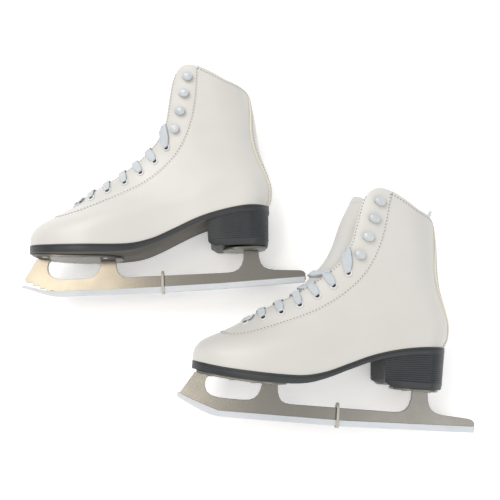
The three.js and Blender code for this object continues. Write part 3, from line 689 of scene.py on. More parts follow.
# %% The upper and its lining
UPPER_T = 2.6
LINING_T = 1.8


def column_top(turn):
    """Height where a column of the upper meets the collar or the facing's seam."""
    low, high = np.full_like(turn, 60.0), np.full_like(turn, 246.0)
    for _ in range(40):
        z = (low + high) / 2
        x = surface(turn, z)[..., 0]
        inside = (z < collar_z(x)) & (z < np.where(x < -113.5, 300, seam_z(x) + np.where(x > 50, 100, 0)))
        low, high = np.where(inside, z, low), np.where(inside, high, z)
    return low


def column_foot(turn):
    z = np.full_like(turn, 60.0)
    for _ in range(30):
        z = feather_z(surface(turn, z)[..., 0]) + 0.2
    return z


def swell(x, z):
    """Slight unevenness of a leather shell, in millimetres."""
    return 0.28 * np.sin(x / 17 + z / 23) * np.sin(z / 13 - x / 29) + 0.12 * np.sin(x / 7 + 2 * np.sin(z / 11))


AROUND, UP_ROWS = 220, 84
turns = np.linspace(0, 1, AROUND, endpoint=False)
feet, tops = column_foot(turns), column_top(turns)


def upper_grid(distance, low=0.0, high=0.0, rows=UP_ROWS, round_top=0.0):
    """Level rows of points; a column that has reached its top stays there."""
    level = mix(feet + low, tops.max() - high, np.linspace(0, 1, rows)[:, None])
    z = np.minimum(level, tops - high)
    turn = np.repeat(turns[None], rows, 0)
    x = surface(turn, z)[..., 0]
    d = distance + swell(x, z) * 0.6 - round_top * smooth(1.6, 0.0, tops - high - z)
    return boot_point(turn, z, d)


def make_upper(skate):
    face, back = upper_grid(0.0, round_top=0.25), upper_grid(-UPPER_T)
    leather_sheet(f"{skate}_upper_leather", skate, face, back, True, LEATHER)
    outer = upper_grid(-UPPER_T - 0.25, 3, 1.2, 50)
    leather_sheet(f"{skate}_lining_cloth", skate, outer, upper_grid(-UPPER_T - LINING_T, 3, 1.2, 50), True, LINING)


# %% [markdown]
# The facing is the U-shaped strip that carries the eyelets and hooks. It runs down one side of the
# throat, round its end on the vamp and up the other side. Its grid is made between two lines: the
# edge beside the tongue and the seam, both followed from the collar to the vamp.

# %% The facing's two lines
FACING_RISE = 0.2  # of the facing above the upper


def facing_lines(count):
    """(turn, z) points of the edge and of the seam, outer side, from the collar to the vamp's middle."""
    zs = np.linspace(229, 101, 90)
    edge = [(float(turn_at(edge_x(z), z)), z) for z in zs]
    last = edge[-1]
    edge += [(mix(last[0], 0.5, t), 101 - 2.0 * math.sin(t * math.pi / 2)) for t in np.linspace(0.1, 1, 10)]
    xs = np.concatenate([np.linspace(49.6, 42, 30), np.linspace(41, -104, 90)])
    seam = [(float(turn_at(x, min(seam_z(x), 237))), float(min(seam_z(x), 237))) for x in xs]
    last = seam[-1]
    seam += [(mix(last[0], 0.5, t), last[1] + 2.4 * math.sin(t * math.pi / 2)) for t in np.linspace(0.08, 1, 14)]
    out = []
    for line in (edge, seam):
        line = np.array(line)
        place = surface(line[:, 0], line[:, 1])
        along = line_length(place)
        at = np.linspace(0, along[-1], count)
        out.append(np.stack([np.interp(at, along, line[:, k]) for k in (0, 1)], -1))
    return out


EDGE_LINE, SEAM_LINE = facing_lines(150)
ACROSS = 22
print("the facing's edge is", round(float(line_length(surface(*EDGE_LINE.T))[-1])), "mm long on each side")


# %% [markdown]
# Between the two lines the leather dips along its stitches, and it thins at the edges.

# %% The facing's leather


def facing_place(share, index):
    """(turn, z) between the edge, share 0, and the seam, share 1, at row index of one side."""
    place = mix(EDGE_LINE[index], SEAM_LINE[index], np.asarray(share)[..., None])
    # The top edge bulges up to the collar's line.
    top = mix(EDGE_LINE[0], SEAM_LINE[0], np.asarray(share)[..., None])
    rise = collar_z(surface(top[..., 0], top[..., 1])[..., 0]) - top[..., 1]
    fade = 1 - smooth(0, 22, np.asarray(index, float))
    place = place + np.stack([0 * rise, rise * fade], -1)
    return place


def both_sides(build):
    """Rows of the U-shaped strip: down the outer side and up the inner side."""
    index = np.arange(len(EDGE_LINE))
    outer = [build(i, False) for i in index]
    inner = [build(i, True) for i in index[-2::-1]]
    return np.array(outer + inner)


def facing_grid(distance, groove):
    shares = (1 - np.cos(np.linspace(0, np.pi, ACROSS))) / 2

    def row(i, mirrored):
        place = facing_place(shares, i)
        turn = 1 - place[:, 0] if mirrored else place[:, 0]
        width = np.linalg.norm(surface(*EDGE_LINE[i]) - surface(*SEAM_LINE[i]))
        from_edge, from_seam = shares * width, (1 - shares) * width
        d = distance + 0 * shares
        if groove:
            d = d - 0.15 * np.exp(-(from_seam / 0.5)) - 0.6 * np.exp(-(from_edge / 0.8))
            for away in (from_seam - 1.2, from_edge - 2.6):
                d = d - 0.12 * np.exp(-((away / 0.7) ** 2))
        return boot_point(turn, place[:, 1], d)

    return both_sides(row)


def facing_line(away, from_seam, distance, skip=0):
    """Line along the facing, at a distance away from its seam or its edge."""
    points = []
    count = len(EDGE_LINE)
    for i in list(range(skip, count)) + list(range(count - 2, skip - 1, -1)):
        mirrored = len(points) >= count - skip
        width = np.linalg.norm(surface(*EDGE_LINE[i]) - surface(*SEAM_LINE[i]))
        share = np.array([1 - away / width if from_seam else away / width])
        place = facing_place(share, i)[0]
        turn = 1 - place[0] if mirrored else place[0]
        points.append(boot_point(np.array([turn]), np.array([place[1]]), np.array([distance]))[0])
    return np.array(points)


def make_facing(skate):
    outer, inner = facing_grid(FACING_RISE, True), facing_grid(-UPPER_T, False)
    leather_sheet(f"{skate}_facing_leather", skate, outer, inner, False, LEATHER)
    lines = [facing_line(1.2, True, FACING_RISE, 2), facing_line(2.6, False, FACING_RISE, 2)]
    stitch_lines(f"{skate}_facing_stitches", skate, lines)


# %% [markdown]
# A folded leather binding closes the collar. At the back a leather stay covers the seam, and a cream
# piping is sewn along each side of it.

# %% Collar and back stay
def collar_line(distance, lower=0.0):
    """Points along the collar, from one facing round the back to the other."""
    zs = []
    last = SEAM_LINE[0][0]
    for turn in np.linspace(-last, last, 120):
        z = 225.0
        for _ in range(30):
            z = float(mix(z, collar_z(surface(np.array(turn % 1), np.array(z))[..., 0]), 0.7))
        zs.append(boot_point(np.array([turn % 1]), np.array([z - lower]), np.array([distance]))[0])
    return np.array(zs)


def back_point(y, z, distance):
    """Place on the back of the boot at a distance y from its middle."""
    share = np.clip(np.abs(y) / full_half(100, z), 0, 1)
    x = back_x(z) - back_round(z) * (1 - np.sqrt(1 - share**2))
    turn = turn_at(x, z)
    turn = np.where(y >= 0, turn, 1 - turn)
    return boot_point(turn, z, distance)


stay_half = curve([(85, 10), (105, 12), (130, 15), (165, 16.5), (190, 13), (208, 8.5)])


def make_back(skate):
    line = collar_line(-1.9)
    out = boot_normal(np.linspace(-SEAM_LINE[0][0], SEAM_LINE[0][0], 120) % 1, np.full(120, 215.0))
    wide, up = frames_along(line, out)
    sweep(f"{skate}_collar_binding", skate, line, wide, up, ring_section(1.15, 12, 1.5), LEATHER)
    stitch_lines(f"{skate}_collar_stitches", skate, [collar_line(0.25, 2.6)])
    z = np.linspace(85.2, 208.5, 70)[:, None]
    y = np.linspace(-1, 1, 15)[None] * stay_half(z)
    edge = 0.6 * np.exp(-(1 - np.abs(np.linspace(-1, 1, 15))[None]) * 9)
    outer = back_point(y, z + 0 * y, 1.15 - edge + 0 * y)
    leather_sheet(f"{skate}_back_stay", skate, outer, back_point(y, z + 0 * y, 0.0 * y), False, LEATHER)
    for tag, side in (("outer", 1), ("inner", -1)):
        zz = np.linspace(85.2, 210, 90)
        yy = side * (stay_half(zz) + 0.5)
        line = back_point(yy, zz, 0.5 + 0 * zz)
        wide, up = frames_along(line, back_point(yy, zz, 1.5 + 0 * zz) - line)
        sweep(f"{skate}_piping_{tag}", skate, line, wide, up, ring_section(0.95, 10), PIPING)
    lines = [back_point(side * (stay_half(zz) - 2.4), zz, 1.05 + 0 * zz) for side in (1, -1)]
    stitch_lines(f"{skate}_back_stitches", skate, lines)


# %% [markdown]
# The tongue is one padded strip, stitched down at the vamp and free above, where it can be folded forward.
# On the left skate its upper part stands out of the throat.

# %% The tongue
tongue_depth = curve([
    (95, 12), (115, 13), (135, 14), (150, 16.5), (164, 19), (180, 22), (200, 25), (225, 26.5), (250, 27),
])
tongue_half = curve([
    (95, 8), (107, 12), (120, 14.5), (135, 16), (150, 16.6), (164, 16), (180, 17.6), (200, 21), (220, 23.5), (229, 21.5),
])
TONGUE_T = 5.0
CREASE_Z = 164.0
BEND_REACH = 14  # distance on each side of the crease
TONGUE_LIFT = {"right": 0.0, "left": 17.0}


def tongue_points(skate, share, z, depth):
    y = share * tongue_half(z)
    x = front_x(z)
    for _ in range(4):
        part = np.minimum(1, np.abs(y) / full_half(x, z))
        x = front_x(z) + front_round(z) * (1 - np.sqrt(1 - part**2))
    dx = edge_x(z + 1) - edge_x(z - 1)
    normal = unit(np.stack([-2.0 + 0 * z, 0 * z, dx], -1))
    lift = TONGUE_LIFT[skate] * (smooth(116, 154, z) - 0.15 * smooth(190, 225, z))
    out = lift * (1 - 0.7 * np.abs(share) ** 3)  # the edges stay tucked under the facing
    rise = 0.62 * TONGUE_LIFT[skate] * smooth(150, 205, z)
    return np.stack([x, middle_y(x) + y, z + rise], -1) + normal * (out - tongue_depth(z) - depth)[..., None]


def make_tongue(skate):
    share = np.linspace(-1, 1, 41)[None]
    v = np.linspace(0, 1, 110)[:, None]
    top = 229.6 - 7 * np.abs(share) ** 4
    z = mix(98 + 0 * share, top, v)
    share = share + 0 * z
    # Padding: full in the middle, thin at the edges, pulled in along two sewn lines.
    edge = np.clip(1 - np.abs(share) ** 5, 0, 1) ** 0.5 * np.clip((1 - v) * 14 + 0.12, 0, 1) ** 0.5
    sewn = 0.9 * np.exp(-(((np.abs(share) - 0.86) / 0.05) ** 2)) + 0.8 * np.exp(-(((top - z) - 9) / 1.6) ** 2)
    thick = (TONGUE_T / 2 - 0.15) * np.maximum(edge, 0.16)
    thick = thick - sewn * 0.8 * (thick > 1)
    outer = tongue_points(skate, share, z, TONGUE_T / 2 - thick)
    inner = tongue_points(skate, share, z, TONGUE_T / 2 + thick)
    return leather_sheet(f"{skate}_tongue_pad", skate, outer, inner, False, TONGUE_LEATHER, 60)


# %% [markdown]
# The lace is flat and woven. It comes up out of each eyelet, over the facing's edge, and dives under
# the other facing to the next eyelet. Both ends are tucked into the shaft and folded into a hank.

# %% The lace
EYELETS = [(-87.5, 94.5), (-70, 100.5), (-52.5, 107), (-34.5, 115.5), (-17.5, 126), (-2, 137.5), (11.5, 151)]
HOOKS = [(21, 170), (28, 188), (33, 207), (37.5, 225)]
LACE_WIDE, LACE_T = 7.8, 1.3
THREAD_PITCH = 0.0011  # metres between the threads of the weave
LACE_RISE = [5, 8, 10.5, 12.5, 12, 12.5, 22]  # how far above each eyelet the lace crosses the edge


def lace_section(width, thick):
    a = np.linspace(0, 2 * np.pi, 14, endpoint=False)
    c, s = np.cos(a), np.sin(a)
    return np.stack([width / 2 * np.sign(c) * np.abs(c) ** 0.45, thick / 2 * np.sign(s) * np.abs(s) ** 0.6], -1)


STRIP_WIDE = [LACE_WIDE] * 5 + [8.6, 10.6]  # the strip at the top lies flat
OVER_TONGUE = (4, 5)  # crossings that the left tongue pushes out of the throat


def lace_half(skate, start):
    """(point, out, width, thickness) down one half of the lacing."""
    steps = []
    side = start
    for k, (x, z) in enumerate(EYELETS):
        rise = z + LACE_RISE[k] - 5
        _, normal = side_point(x, z, side, 0)
        cross = rise + 5
        _, throat = edge_frame(cross)
        for distance, wide in ((-4.2, 3.6), (0.2, 3.8), (1.9, 5.8)):
            place = side_point(x - 0.6, z + 1.3, side, distance)[0]
            steps.append((place, normal if distance > 0 else throat, wide, 1.9))
        for t in (0.4, 0.68, 0.92):
            place, flat = side_point(mix(x - 0.6, edge_x(cross), t), mix(z + 1.3, cross, t), side, 1.9)
            steps.append((place, unit(flat + 0.15 * throat), STRIP_WIDE[k], LACE_T))
        steps.append((edge_point(cross + 0.6, side, -0.2, 1.5), unit(throat + 0.7 * flat), STRIP_WIDE[k], LACE_T))
        if k + 1 < len(EYELETS):
            if skate == "left" and k in OVER_TONGUE:
                above = -1.2 if start > 0 else -2.8
                for share in (0.45, 0.0, -0.45):
                    over = tongue_points(skate, np.array([share * side]), np.array([rise + 4.5]), above)[0]
                    steps.append((over, unit(throat + np.array([0, share * side, 0])), LACE_WIDE, LACE_T))
            else:
                under = edge_point(rise + 6.5, side, 4.5, -0.4 if start > 0 else -3.0)
                steps.append((under, throat, LACE_WIDE, LACE_T))
            steps.append((edge_point(rise + 8.5, -side, 2.5, -4.8), throat, LACE_WIDE, LACE_T))
            side = -side
    return steps


print("the right lacing has", len(lace_half("right", 1)), "steps in each half")


# %% [markdown]
# A ribbon follows the steps, and its UV map counts threads, so the weave runs along it.

# %% Ribbons and free ends
def ribbon(name, skate, steps, per=6):
    points = rounded([s[0] for s in steps], per)
    outs = unit(rounded([s[1] for s in steps], per))
    sizes = rounded([(s[2], s[3]) for s in steps], per)
    wide, up = frames_along(points, outs)
    sections = np.array([lace_section(w, t) for w, t in sizes])
    piece = sweep(name, skate, points, wide, up, sections, LACE, 70)
    add_lace_uv(piece, skate, points, wide)
    return piece, points


def add_lace_uv(piece, skate, points, wide):
    """UV map in threads: U across the lace and V along it."""
    mesh = piece.data
    line = to_floor(skate, points)
    across = turned(skate, wide)
    along = line_length(line)
    co = np.array([v.co for v in mesh.vertices])
    layer = mesh.uv_layers.new(name="lace")
    uv = np.empty((len(co), 2))
    for i in range(0, len(co), 400):
        part = co[i : i + 400]
        near = np.argmin(((part[:, None] - line[None]) ** 2).sum(-1), 1)
        uv[i : i + 400, 0] = ((part - line[near]) * across[near]).sum(-1)
        uv[i : i + 400, 1] = along[near]
    uv = uv / THREAD_PITCH
    turn = np.stack([uv[:, 0] + uv[:, 1], uv[:, 1] - uv[:, 0]], -1)
    loops = np.array([loop.vertex_index for loop in mesh.loops])
    layer.data.foreach_set("uv", turn[loops].astype(np.float32).ravel())


HANK = {"x0": 47, "z0": 113, "z1": 203, "y": 18.5}
HANK_RUNS, HANK_PITCH = 5, 2.9
FREE_FROM_Z = EYELETS[6][1] + LACE_RISE[6] + 1


def free_end(skate, side):
    """Steps of one free end, from the facing's edge into its half of the hank."""
    low = LOW_SIDE[skate]
    throat = edge_frame(FREE_FROM_Z)[1]
    first = edge_point(FREE_FROM_Z - 3, side, -1.0, 2.2)
    path = [first, edge_point(FREE_FROM_Z - 1, side, 3.5, -1.5), edge_point(FREE_FROM_Z, side, 5.8, -8.1),
            (19, side * 21.6, 178), (27, side * 22, 180)]
    if side == low:
        path += [(35, side * 20.8, 184), (42, side * 19, 189)]
    else:
        path += [(37, side * 20, 183), (43, side * 12, 187), (45, -side * 2, 191), (45.5, -side * 12, 194)]
    # The hank: runs folded to and fro, side by side.
    y = low * HANK["y"]
    x = HANK["x0"] + 0.8 + (0 if side == low else HANK_RUNS * HANK_PITCH)
    high, deep = HANK["z1"] - 3.5, HANK["z0"] + 3.5
    for k in range(HANK_RUNS):
        first, last = (high, deep) if k % 2 == 0 else (deep, high)
        path += [(x, y, first), (x, y, (high + deep) / 2), (x, y, last)]
        x += HANK_PITCH
    return path, throat


def make_laces(skate):
    steps = lace_half(skate, -1)[::-1] + lace_half(skate, 1)
    ribbon(f"{skate}_lace_ribbon", skate, steps)


# %% [markdown]
# Eyelets are rolled metal rings pressed into the facing. The lace hooks above them are stamped from
# sheet: a riveted foot, a short neck and a domed cap that the lace slips under.

# %% Eyelets
def shape_only(piece):
    """Takes a piece out of the scene: it's only the shape that a tree repeats."""
    pieces.pop(piece.name)
    piece.hide_render = piece.hide_viewport = True
    return piece


def lathe(name, profile, material, sides=24):
    """Solid of revolution about Z from (radius, height) points that close on themselves."""
    points, n = [], len(profile)
    for i in range(sides):
        a = 2 * math.pi * i / sides
        points += [(r * MM * math.cos(a), r * MM * math.sin(a), h * MM) for r, h in profile]
    faces = []
    for i in range(sides):
        a, b = i * n, (i + 1) % sides * n
        faces += [(a + k, b + k, b + (k + 1) % n, a + (k + 1) % n) for k in range(n)]
    return shape_only(mesh_piece(name, points, faces, material))


def arc(cx, cy, r, a0, a1, n):
    return [(cx + r * math.cos(math.radians(a)), cy + r * math.sin(math.radians(a))) for a in np.linspace(a0, a1, n)]


EYELET = lathe("eyelet_shape", [(2.2, -1.5), *arc(3.1, 0.35, 1.0, 200, -20, 9), (4.15, -0.1), (2.9, -0.3),
                                (2.5, -1.5)], BRASSY)
# The facing has no hole through it, so each eyelet holds a dark disc of painted shade for the shadow inside the hole.
HOLE_SHADE_SHAPE = lathe("hole_shape", [(0.01, -0.2), (0.01, 0.2), (2.5, 0.2), (2.5, -0.2)], PAINTED_HOLE_SHADE, 20)
RIVET = lathe("rivet_shape", [(0.01, 0.4), (0.01, 1.45), (0.9, 1.3), (1.6, 0.9), (1.7, 0.4)], SCREW, 16)
print(len(EYELET.data.polygons), "faces in an eyelet")


# %% [markdown]
# A hook is one strip of sheet: its line runs up the neck and over, and its width varies along the line.

# %% Hooks
def hook_mesh():
    """Stamped hook: foot on the leather, neck on the throat's side and a domed cap over it."""
    line = [(3.4, 0.5), (0.5, 0.5), (-2.0, 0.6), (-4.4, 1.4), (-4.8, 2.8),
            (-3.4, 4.1), (-1.5, 4.6), (1.0, 4.8), (3.4, 4.5), (5.2, 3.9), (6.2, 3.3)]
    half = [1.6, 4.2, 3.8, 2.6, 2.2, 2.8, 4.0, 4.6, 4.2, 3.0, 1.3]
    centre = rounded([(a, 0, b) for a, b in line], 4)
    widths = np.clip(rounded([(h, 0, 0) for h in half], 4)[:, 0], 1.0, 9)
    tangent = unit(np.gradient(centre, axis=0))
    out = np.stack([-tangent[:, 2], 0 * tangent[:, 0], tangent[:, 0]], -1)
    shares = np.linspace(-1, 1, 9)
    dome = np.clip((centre[:, 2] - 3) / 1.7, 0, 1)
    rows = []
    for sign in (0.45, -0.45):
        rows.append([[centre[i] + np.array([0, s * widths[i], 0]) + out[i] * sign
                      + np.array([0, 0, -1.2 * dome[i] * s * s]) for s in shares] for i in range(len(centre))])
    return np.array(rows[0]) * MM, np.array(rows[1]) * MM


def make_hook_shape():
    outer, inner = hook_mesh()
    points = np.concatenate([outer.reshape(-1, 3), inner.reshape(-1, 3)])
    return shape_only(mesh_piece("hook_shape", points, sheet_faces(*outer.shape[:2], False), ENAMEL, 50))


HOOK = make_hook_shape()
print(len(HOOK.data.polygons), "faces in a hook")


# %% [markdown]
# Fourteen eyelets and eight hooks a skate stand on the facing, each square to the leather.

# %% Fittings of a skate
def make_fittings(skate):
    spots = [(*side_point(x, z, side, FACING_RISE), (1.0, 0, 0)) for x, z in EYELETS for side in (1, -1)]
    stand(f"{skate}_eyelets", skate, EYELET, spots, BRASSY)
    # A dark disc of painted shade sits in each eyelet, where the hole would be in shadow.
    stand(f"{skate}_eyelet_holes", skate, HOLE_SHADE_SHAPE, spots, PAINTED_HOLE_SHADE)
    for tag, side in (("outer", 1), ("inner", -1)):
        spots = []
        for x, z in HOOKS:
            point, normal = side_point(x, z, side, FACING_RISE - 0.1)
            back = -edge_frame(z)[1]
            spots.append((point, normal, unit(back - normal * (back @ normal))))
        stand(f"{skate}_hooks_{tag}", skate, HOOK, spots, ENAMEL)
        stand(f"{skate}_hook_rivets_{tag}", skate, RIVET, [(p + 0.6 * n, n, s) for p, n, s in spots], SCREW)


# %% [markdown]
# The outsole is a dark slab with a rounded edge, thicker under the ball than under the arch.

# %% Outsole
def sole_half(x):
    return np.maximum(half_width(x, feather_z(x) + 4) + 1.2, 2.0)


def sole_under(x):
    return feather_z(x) - sole_thick(x)


def make_outsole(skate):
    rings = []
    for x in mix(-137.9, 117.9, (1 - np.cos(np.linspace(0, np.pi, 120))) / 2):
        half, top, low = float(sole_half(x)), float(feather_z(x)), float(sole_under(x))
        cut = min(1.0, half * 0.5)
        edge = [(half - cut, low), (half - 0.3 * cut, low + 0.35), (half, low + 1.2), (half + 0.05, mix(low, top, 0.5)),
                (half, top - 2.2), (half - 0.35, top - 1.9), (half - 0.35, top - 1.6), (half + 0.25, top - 1.3),
                (half + 0.2, top - 0.4), (half - 0.6, top)]
        rings.append([(x, middle_y(x) + y, z) for y, z in edge] + [(x, middle_y(x) - y, z) for y, z in edge[::-1]])
    piece = stack(f"{skate}_outsole_edge", skate, rings, SOLE, 35)
    piece.data.materials.append(SOLE_FACE)
    down = Vector(SKATES[skate][0] @ np.array([0, 0, -1.0]))
    for face in piece.data.polygons:
        if down.dot(face.normal) > 0.8:
            face.material_index = 1
    return piece


print("the outsole is", round(float(2 * sole_half(-60)), 1), "mm wide under the ball")


# %% [markdown]
# The heel is a stack of thin layers, so its side has fine level lines. Below it is the bottom lift.

# %% Heel
HEEL_LOW, HEEL_SPLIT = 41.5, 48.5
HEEL_MIDDLE = np.array([70.0, 0.0])
HEEL_LAYERS = 13
GROOVE = 0.32  # depth of the line between two layers


def heel_outline(count=120):
    """Plan of the heel: a concave breast in front, straight sides and a round back."""
    xs = mix(51.0, 116.9, (1 - np.cos(np.linspace(0, np.pi, count // 2))) / 2)
    half = np.minimum(sole_half(xs) - 0.4, 31) * mix(0.93, 1, smooth(51, 70, xs))
    side = np.stack([xs, half], -1)
    breast = [(51 + 4.0 * (1 - (s / 1.0) ** 2), s * half[0]) for s in np.linspace(-0.93, 0.93, 13)]
    outline = [(b[0], b[1]) for b in breast] + [tuple(p) for p in side[1:]] + [(x, -y) for x, y in side[::-1][:-1]]
    return np.array(outline)


def make_heel(skate):
    outline = heel_outline()
    middle = middle_y(outline[:, 0])
    levels = [(k + part) / HEEL_LAYERS for k in range(HEEL_LAYERS) for part in (0, 0.12, 0.88)] + [1.0]
    insets = [GROOVE, 0.0, 0.0] * HEEL_LAYERS + [GROOVE]
    top = sole_under(outline[:, 0]) + 0.3
    rings = []
    for level, inset in zip(levels, insets):
        plan = HEEL_MIDDLE + (outline - HEEL_MIDDLE) * mix(0.965, 1.0, level) - unit(outline - HEEL_MIDDLE) * inset
        rings.append(np.stack([plan[:, 0], middle + plan[:, 1], mix(HEEL_SPLIT + 0.1 + 0 * top, top, level)], -1))
    stack(f"{skate}_heel_stack", skate, rings, SOLE, 35)
    rings = []
    for z, share in ((HEEL_LOW, 0.93), (HEEL_LOW + 0.7, 0.945), (HEEL_SPLIT - 0.6, 0.97), (HEEL_SPLIT, 0.96)):
        plan = HEEL_MIDDLE + (outline - HEEL_MIDDLE) * share
        lift = (4.0 if z < HEEL_LOW + 1 else 0.0) * (1 - smooth(52, 60, plan[:, 0]))
        rings.append(np.stack([plan[:, 0], middle + plan[:, 1], z + lift], -1))
    stack(f"{skate}_heel_toplift", skate, rings, SOLE, 35)


print(HEEL_LAYERS, "layers in the heel")


# %% [markdown]
# Blade, plates, guard and tie already have their true shape in the CAD model. They are copied, their
# edges get a small bevel, and the copies stand for the CAD nodes. Screws hold the plates to the sole.

# %% Blade, guard and screws
CREASE = math.radians(28)  # edges sharper than this get a bevel


def softened(node, name, material, width):
    """Copy of a CAD node with bevelled edges."""
    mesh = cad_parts[node].data.copy()
    mesh.materials.clear()
    mesh.materials.append(material)
    flat = math.radians(1.0)
    cleaned(mesh, lambda bm: bmesh.ops.dissolve_limit(bm, angle_limit=flat, verts=bm.verts, edges=bm.edges))
    piece = add_piece(name, mesh, material, 28)
    bevel = piece.modifiers.new("bevel", "BEVEL")
    bevel.width, bevel.segments, bevel.limit_method, bevel.angle_limit = width, 2, "ANGLE", CREASE
    bevel.harden_normals = True
    solid = bpy.data.meshes.new_from_object(piece.evaluated_get(bpy.context.evaluated_depsgraph_get()))
    piece.modifiers.clear()
    piece.data = solid
    return piece


SCREW_HEAD = lathe("screw_shape", [(0.01, 0.0), (0.01, 0.45), (0.55, 0.3), (0.7, 0.85), (1.6, 1.0), (2.7, 0.75),
                                   (3.3, 0.1), (3.3, 0.0)], SCREW, 20)
TOE_SCREWS = [(-118, 17), (-97, 20), (-76, 21), (-56, 18)]
HEEL_SCREWS = [(76, 11), (101, 11)]
PLATE_DROP = 2.7  # from a plate's upper face to the heads below it
SOFTENED = (
    ("blade", "blade_steel", STEEL, 0.0003), ("toe_plate", "sole_plate", PLATE, 0.0005),
    ("heel_plate", "heel_plate_steel", PLATE, 0.0005), ("edge_guard", "guard_channel", GUARD, 0.0003),
    ("guard_tie", "guard_loop", TIE, 0.0002),
)


def make_blade(skate):
    for node, name, material, width in SOFTENED:
        softened(f"{skate}_{node}", f"{skate}_{name}", material, width)
    heads = [(x, middle_y(x) + side * y, float(sole_under(x)) - PLATE_DROP) for x, y in TOE_SCREWS for side in (1, -1)]
    heads += [(x, side * y, HEEL_LOW - PLATE_DROP) for x, y in HEEL_SCREWS for side in (1, -1)]
    stand(f"{skate}_plate_screws", skate, SCREW_HEAD, [(p, (0, 0, -1.0), (1.0, 0, 0)) for p in heads], SCREW)


print(2 * len(TOE_SCREWS + HEEL_SCREWS), "screws a skate")


# %% [markdown]
# Both skates are made from the same functions. The left one differs in its tongue and its laces.

# %% Make both skates
tongues = {}
for skate in SKATES:
    make_upper(skate)
    make_facing(skate)
    make_back(skate)
    tongues[skate] = make_tongue(skate)
    make_laces(skate)
    make_fittings(skate)
    make_outsole(skate)
    make_heel(skate)
    make_blade(skate)
print(len(pieces), "pieces")


# %% [markdown]
# Each free end of the lace is one long ribbon, so its real length is in it, folded in the hank.

# %% Free ends of the laces
def make_free_end(skate, side, tag):
    path, throat = free_end(skate, side)
    low = LOW_SIDE[skate]
    steps = []
    for i, p in enumerate(path):
        out = throat if i < 3 else (np.array([0, -side, 0.2]) if i < 6 else np.array([1.0, 0, 0.0]))
        wide = LACE_WIDE if i != 2 else 4.0
        steps.append((np.array(p, float), unit(np.asarray(out, float)), wide, LACE_T))
    if skate == "left" and side != low:
        for p in ((80, -14, 208), (90, -7, 211), (96.5, 0, 215), (99.5, 1, 221), (101, 1.5, 225)):
            wide = LACE_WIDE if p[0] < 95 else 3.2
            steps.append((np.array(p, float), unit(np.array([-0.3, 1.0, 0.2])), wide, LACE_T))
    name = f"{skate}_lace_end_{tag}_ribbon"
    piece, points = ribbon(name, skate, steps, 5)
    # The aglet: a clear plastic sleeve pressed round the last stretch.
    tip = points[-1] + np.outer(np.linspace(-7, 3, 6), unit(points[-1] - points[-4]))
    wide, up = frames_along(tip, np.repeat([steps[-1][1]], 6, 0))
    flat = steps[-1][2] / 2 + 0.35
    sizes = np.array([1, 1, 1, 1, 0.97, 0.8])[:, None, None]
    sweep(f"{skate}_aglet_{tag}", skate, tip, wide, up, sizes * ring_section(flat, 12, 1.1 / flat), AGLET)
    line = to_floor(skate, points)
    length = float(line_length(line)[-1])
    print(name, "is", round(length, 3), "m long")
    return piece, line, length


for skate in SKATES:
    for tag, side in (("outer", 1), ("inner", -1)):
        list(make_free_end(skate, side, tag))

# %% [markdown]
# Every piece but the tongues now rides on a CAD body, and each made piece names the CAD nodes it stands for.

# %% Ride on the bodies
STANDS_FOR = {
    "upper_leather": ("vamp", "quarter_outer", "quarter_inner"), "facing_leather": ("facing",),
    "lining_cloth": ("lining",), "back_stay": ("backstay",), "lace_ribbon": ("lace",), "outsole_edge": ("outsole",), "heel_stack": ("heel",),
    "heel_toplift": ("heel_lift",), "blade_steel": ("blade",), "sole_plate": ("toe_plate",),
    "heel_plate_steel": ("heel_plate",), "guard_channel": ("edge_guard",), "guard_loop": ("guard_tie",),
    "hooks_outer": tuple(f"hook_outer_{i}" for i in range(1, 5)),
    "hooks_inner": tuple(f"hook_inner_{i}" for i in range(1, 5)),
    "tongue_pad": ("tongue_base", "tongue_flap"),
    "lace_end_outer_ribbon": ("lace_end_outer",), "lace_end_inner_ribbon": ("lace_end_inner", "lace_hank"),
}
BODY_OF = {"guard_channel": "guard", "guard_loop": "tie"}
for name, piece in pieces.items():
    skate, kind = name.split("_", 1)
    if kind != "tongue_pad":
        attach(piece, f"{skate}_{BODY_OF.get(kind, 'skate')}")
    if kind in STANDS_FOR:
        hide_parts(*[f"{skate}_{node}" for node in STANDS_FOR[kind]])

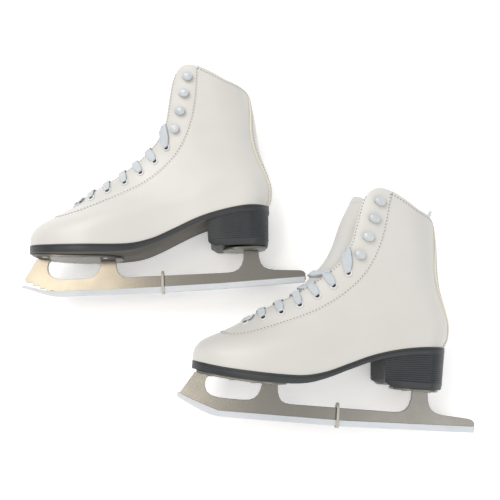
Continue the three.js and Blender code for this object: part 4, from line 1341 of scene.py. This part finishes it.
for skate, piece in tongues.items():
    start, end = (
        to_floor(skate, tongue_points(skate, np.array([0.0]), np.array([z]), np.array([TONGUE_T / 2])))[0]
        for z in (CREASE_Z - BEND_REACH, CREASE_Z + BEND_REACH)
    )
    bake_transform(piece)

# %% [markdown]
# The nodes that the CAD model still shows get a finish too: the footbed and the lasting board.

# %% Finishes of the CAD nodes
for skate in SKATES:
    for node, material in (("footbed", FOOTBED), ("lasting_board", BOARD)):
        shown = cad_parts[f"{skate}_{node}"]
        shown.data.materials.clear()
        shown.data.materials.append(material)

# %% [markdown]
# The skates lie on a white sweep under a large soft light, with a weaker light from the other side.

# %% Floor and light
def area_light(name, at, aim, size, power):
    data = bpy.data.lights.new(name, "AREA")
    data.shape, data.size, data.energy = "DISK", size, power
    lamp = add_object(name, data)
    lamp.location = at
    lamp.rotation_euler = (Vector(aim) - Vector(at)).to_track_quat("-Z", "Y").to_euler()
    return lamp


FLOOR_REACH, FLOOR_Z = 6.0, -0.0005
floor_mesh = bpy.data.meshes.new("floor")
floor_mesh.from_pydata([(x * FLOOR_REACH, y * FLOOR_REACH, FLOOR_Z) for x, y in ((-1, -1), (1, -1), (1, 1), (-1, 1))],
                       [], [(0, 1, 2, 3)])
floor = add_object("floor", floor_mesh)
floor_mesh.materials.append(finish_of("white floor", (0.93, 0.93, 0.93), (0.92, 0.92, 0.92), 0.8,
                                      Emission_Color=(1, 1, 1, 1), Emission_Strength=0.25))
area_light("key", (-0.7, 0.9, 1.3), (0, 0, 0.05), 1.1, 11)
area_light("fill", (1.0, -0.8, 1.2), (0, 0, 0.05), 1.4, 6)
area_light("toe", (0.0, -0.27, 1.13), (-0.04, -0.16, 0.05), 0.2, 0.5).data.color = (1.0, 0.93, 0.82)
area_light("warm", (-0.46, 0.04, 1.13), (-0.15, 0, 0.05), 0.34, 1.6).data.color = (1.0, 0.87, 0.68)
world = bpy.data.worlds.new("studio")
bpy.context.scene.world = world
world.use_nodes = True
world.node_tree.nodes["Background"].inputs["Color"].default_value = (1, 1, 1, 1)
world.node_tree.nodes["Background"].inputs["Strength"].default_value = 0.75
bpy.context.scene.view_settings.view_transform = "Standard"
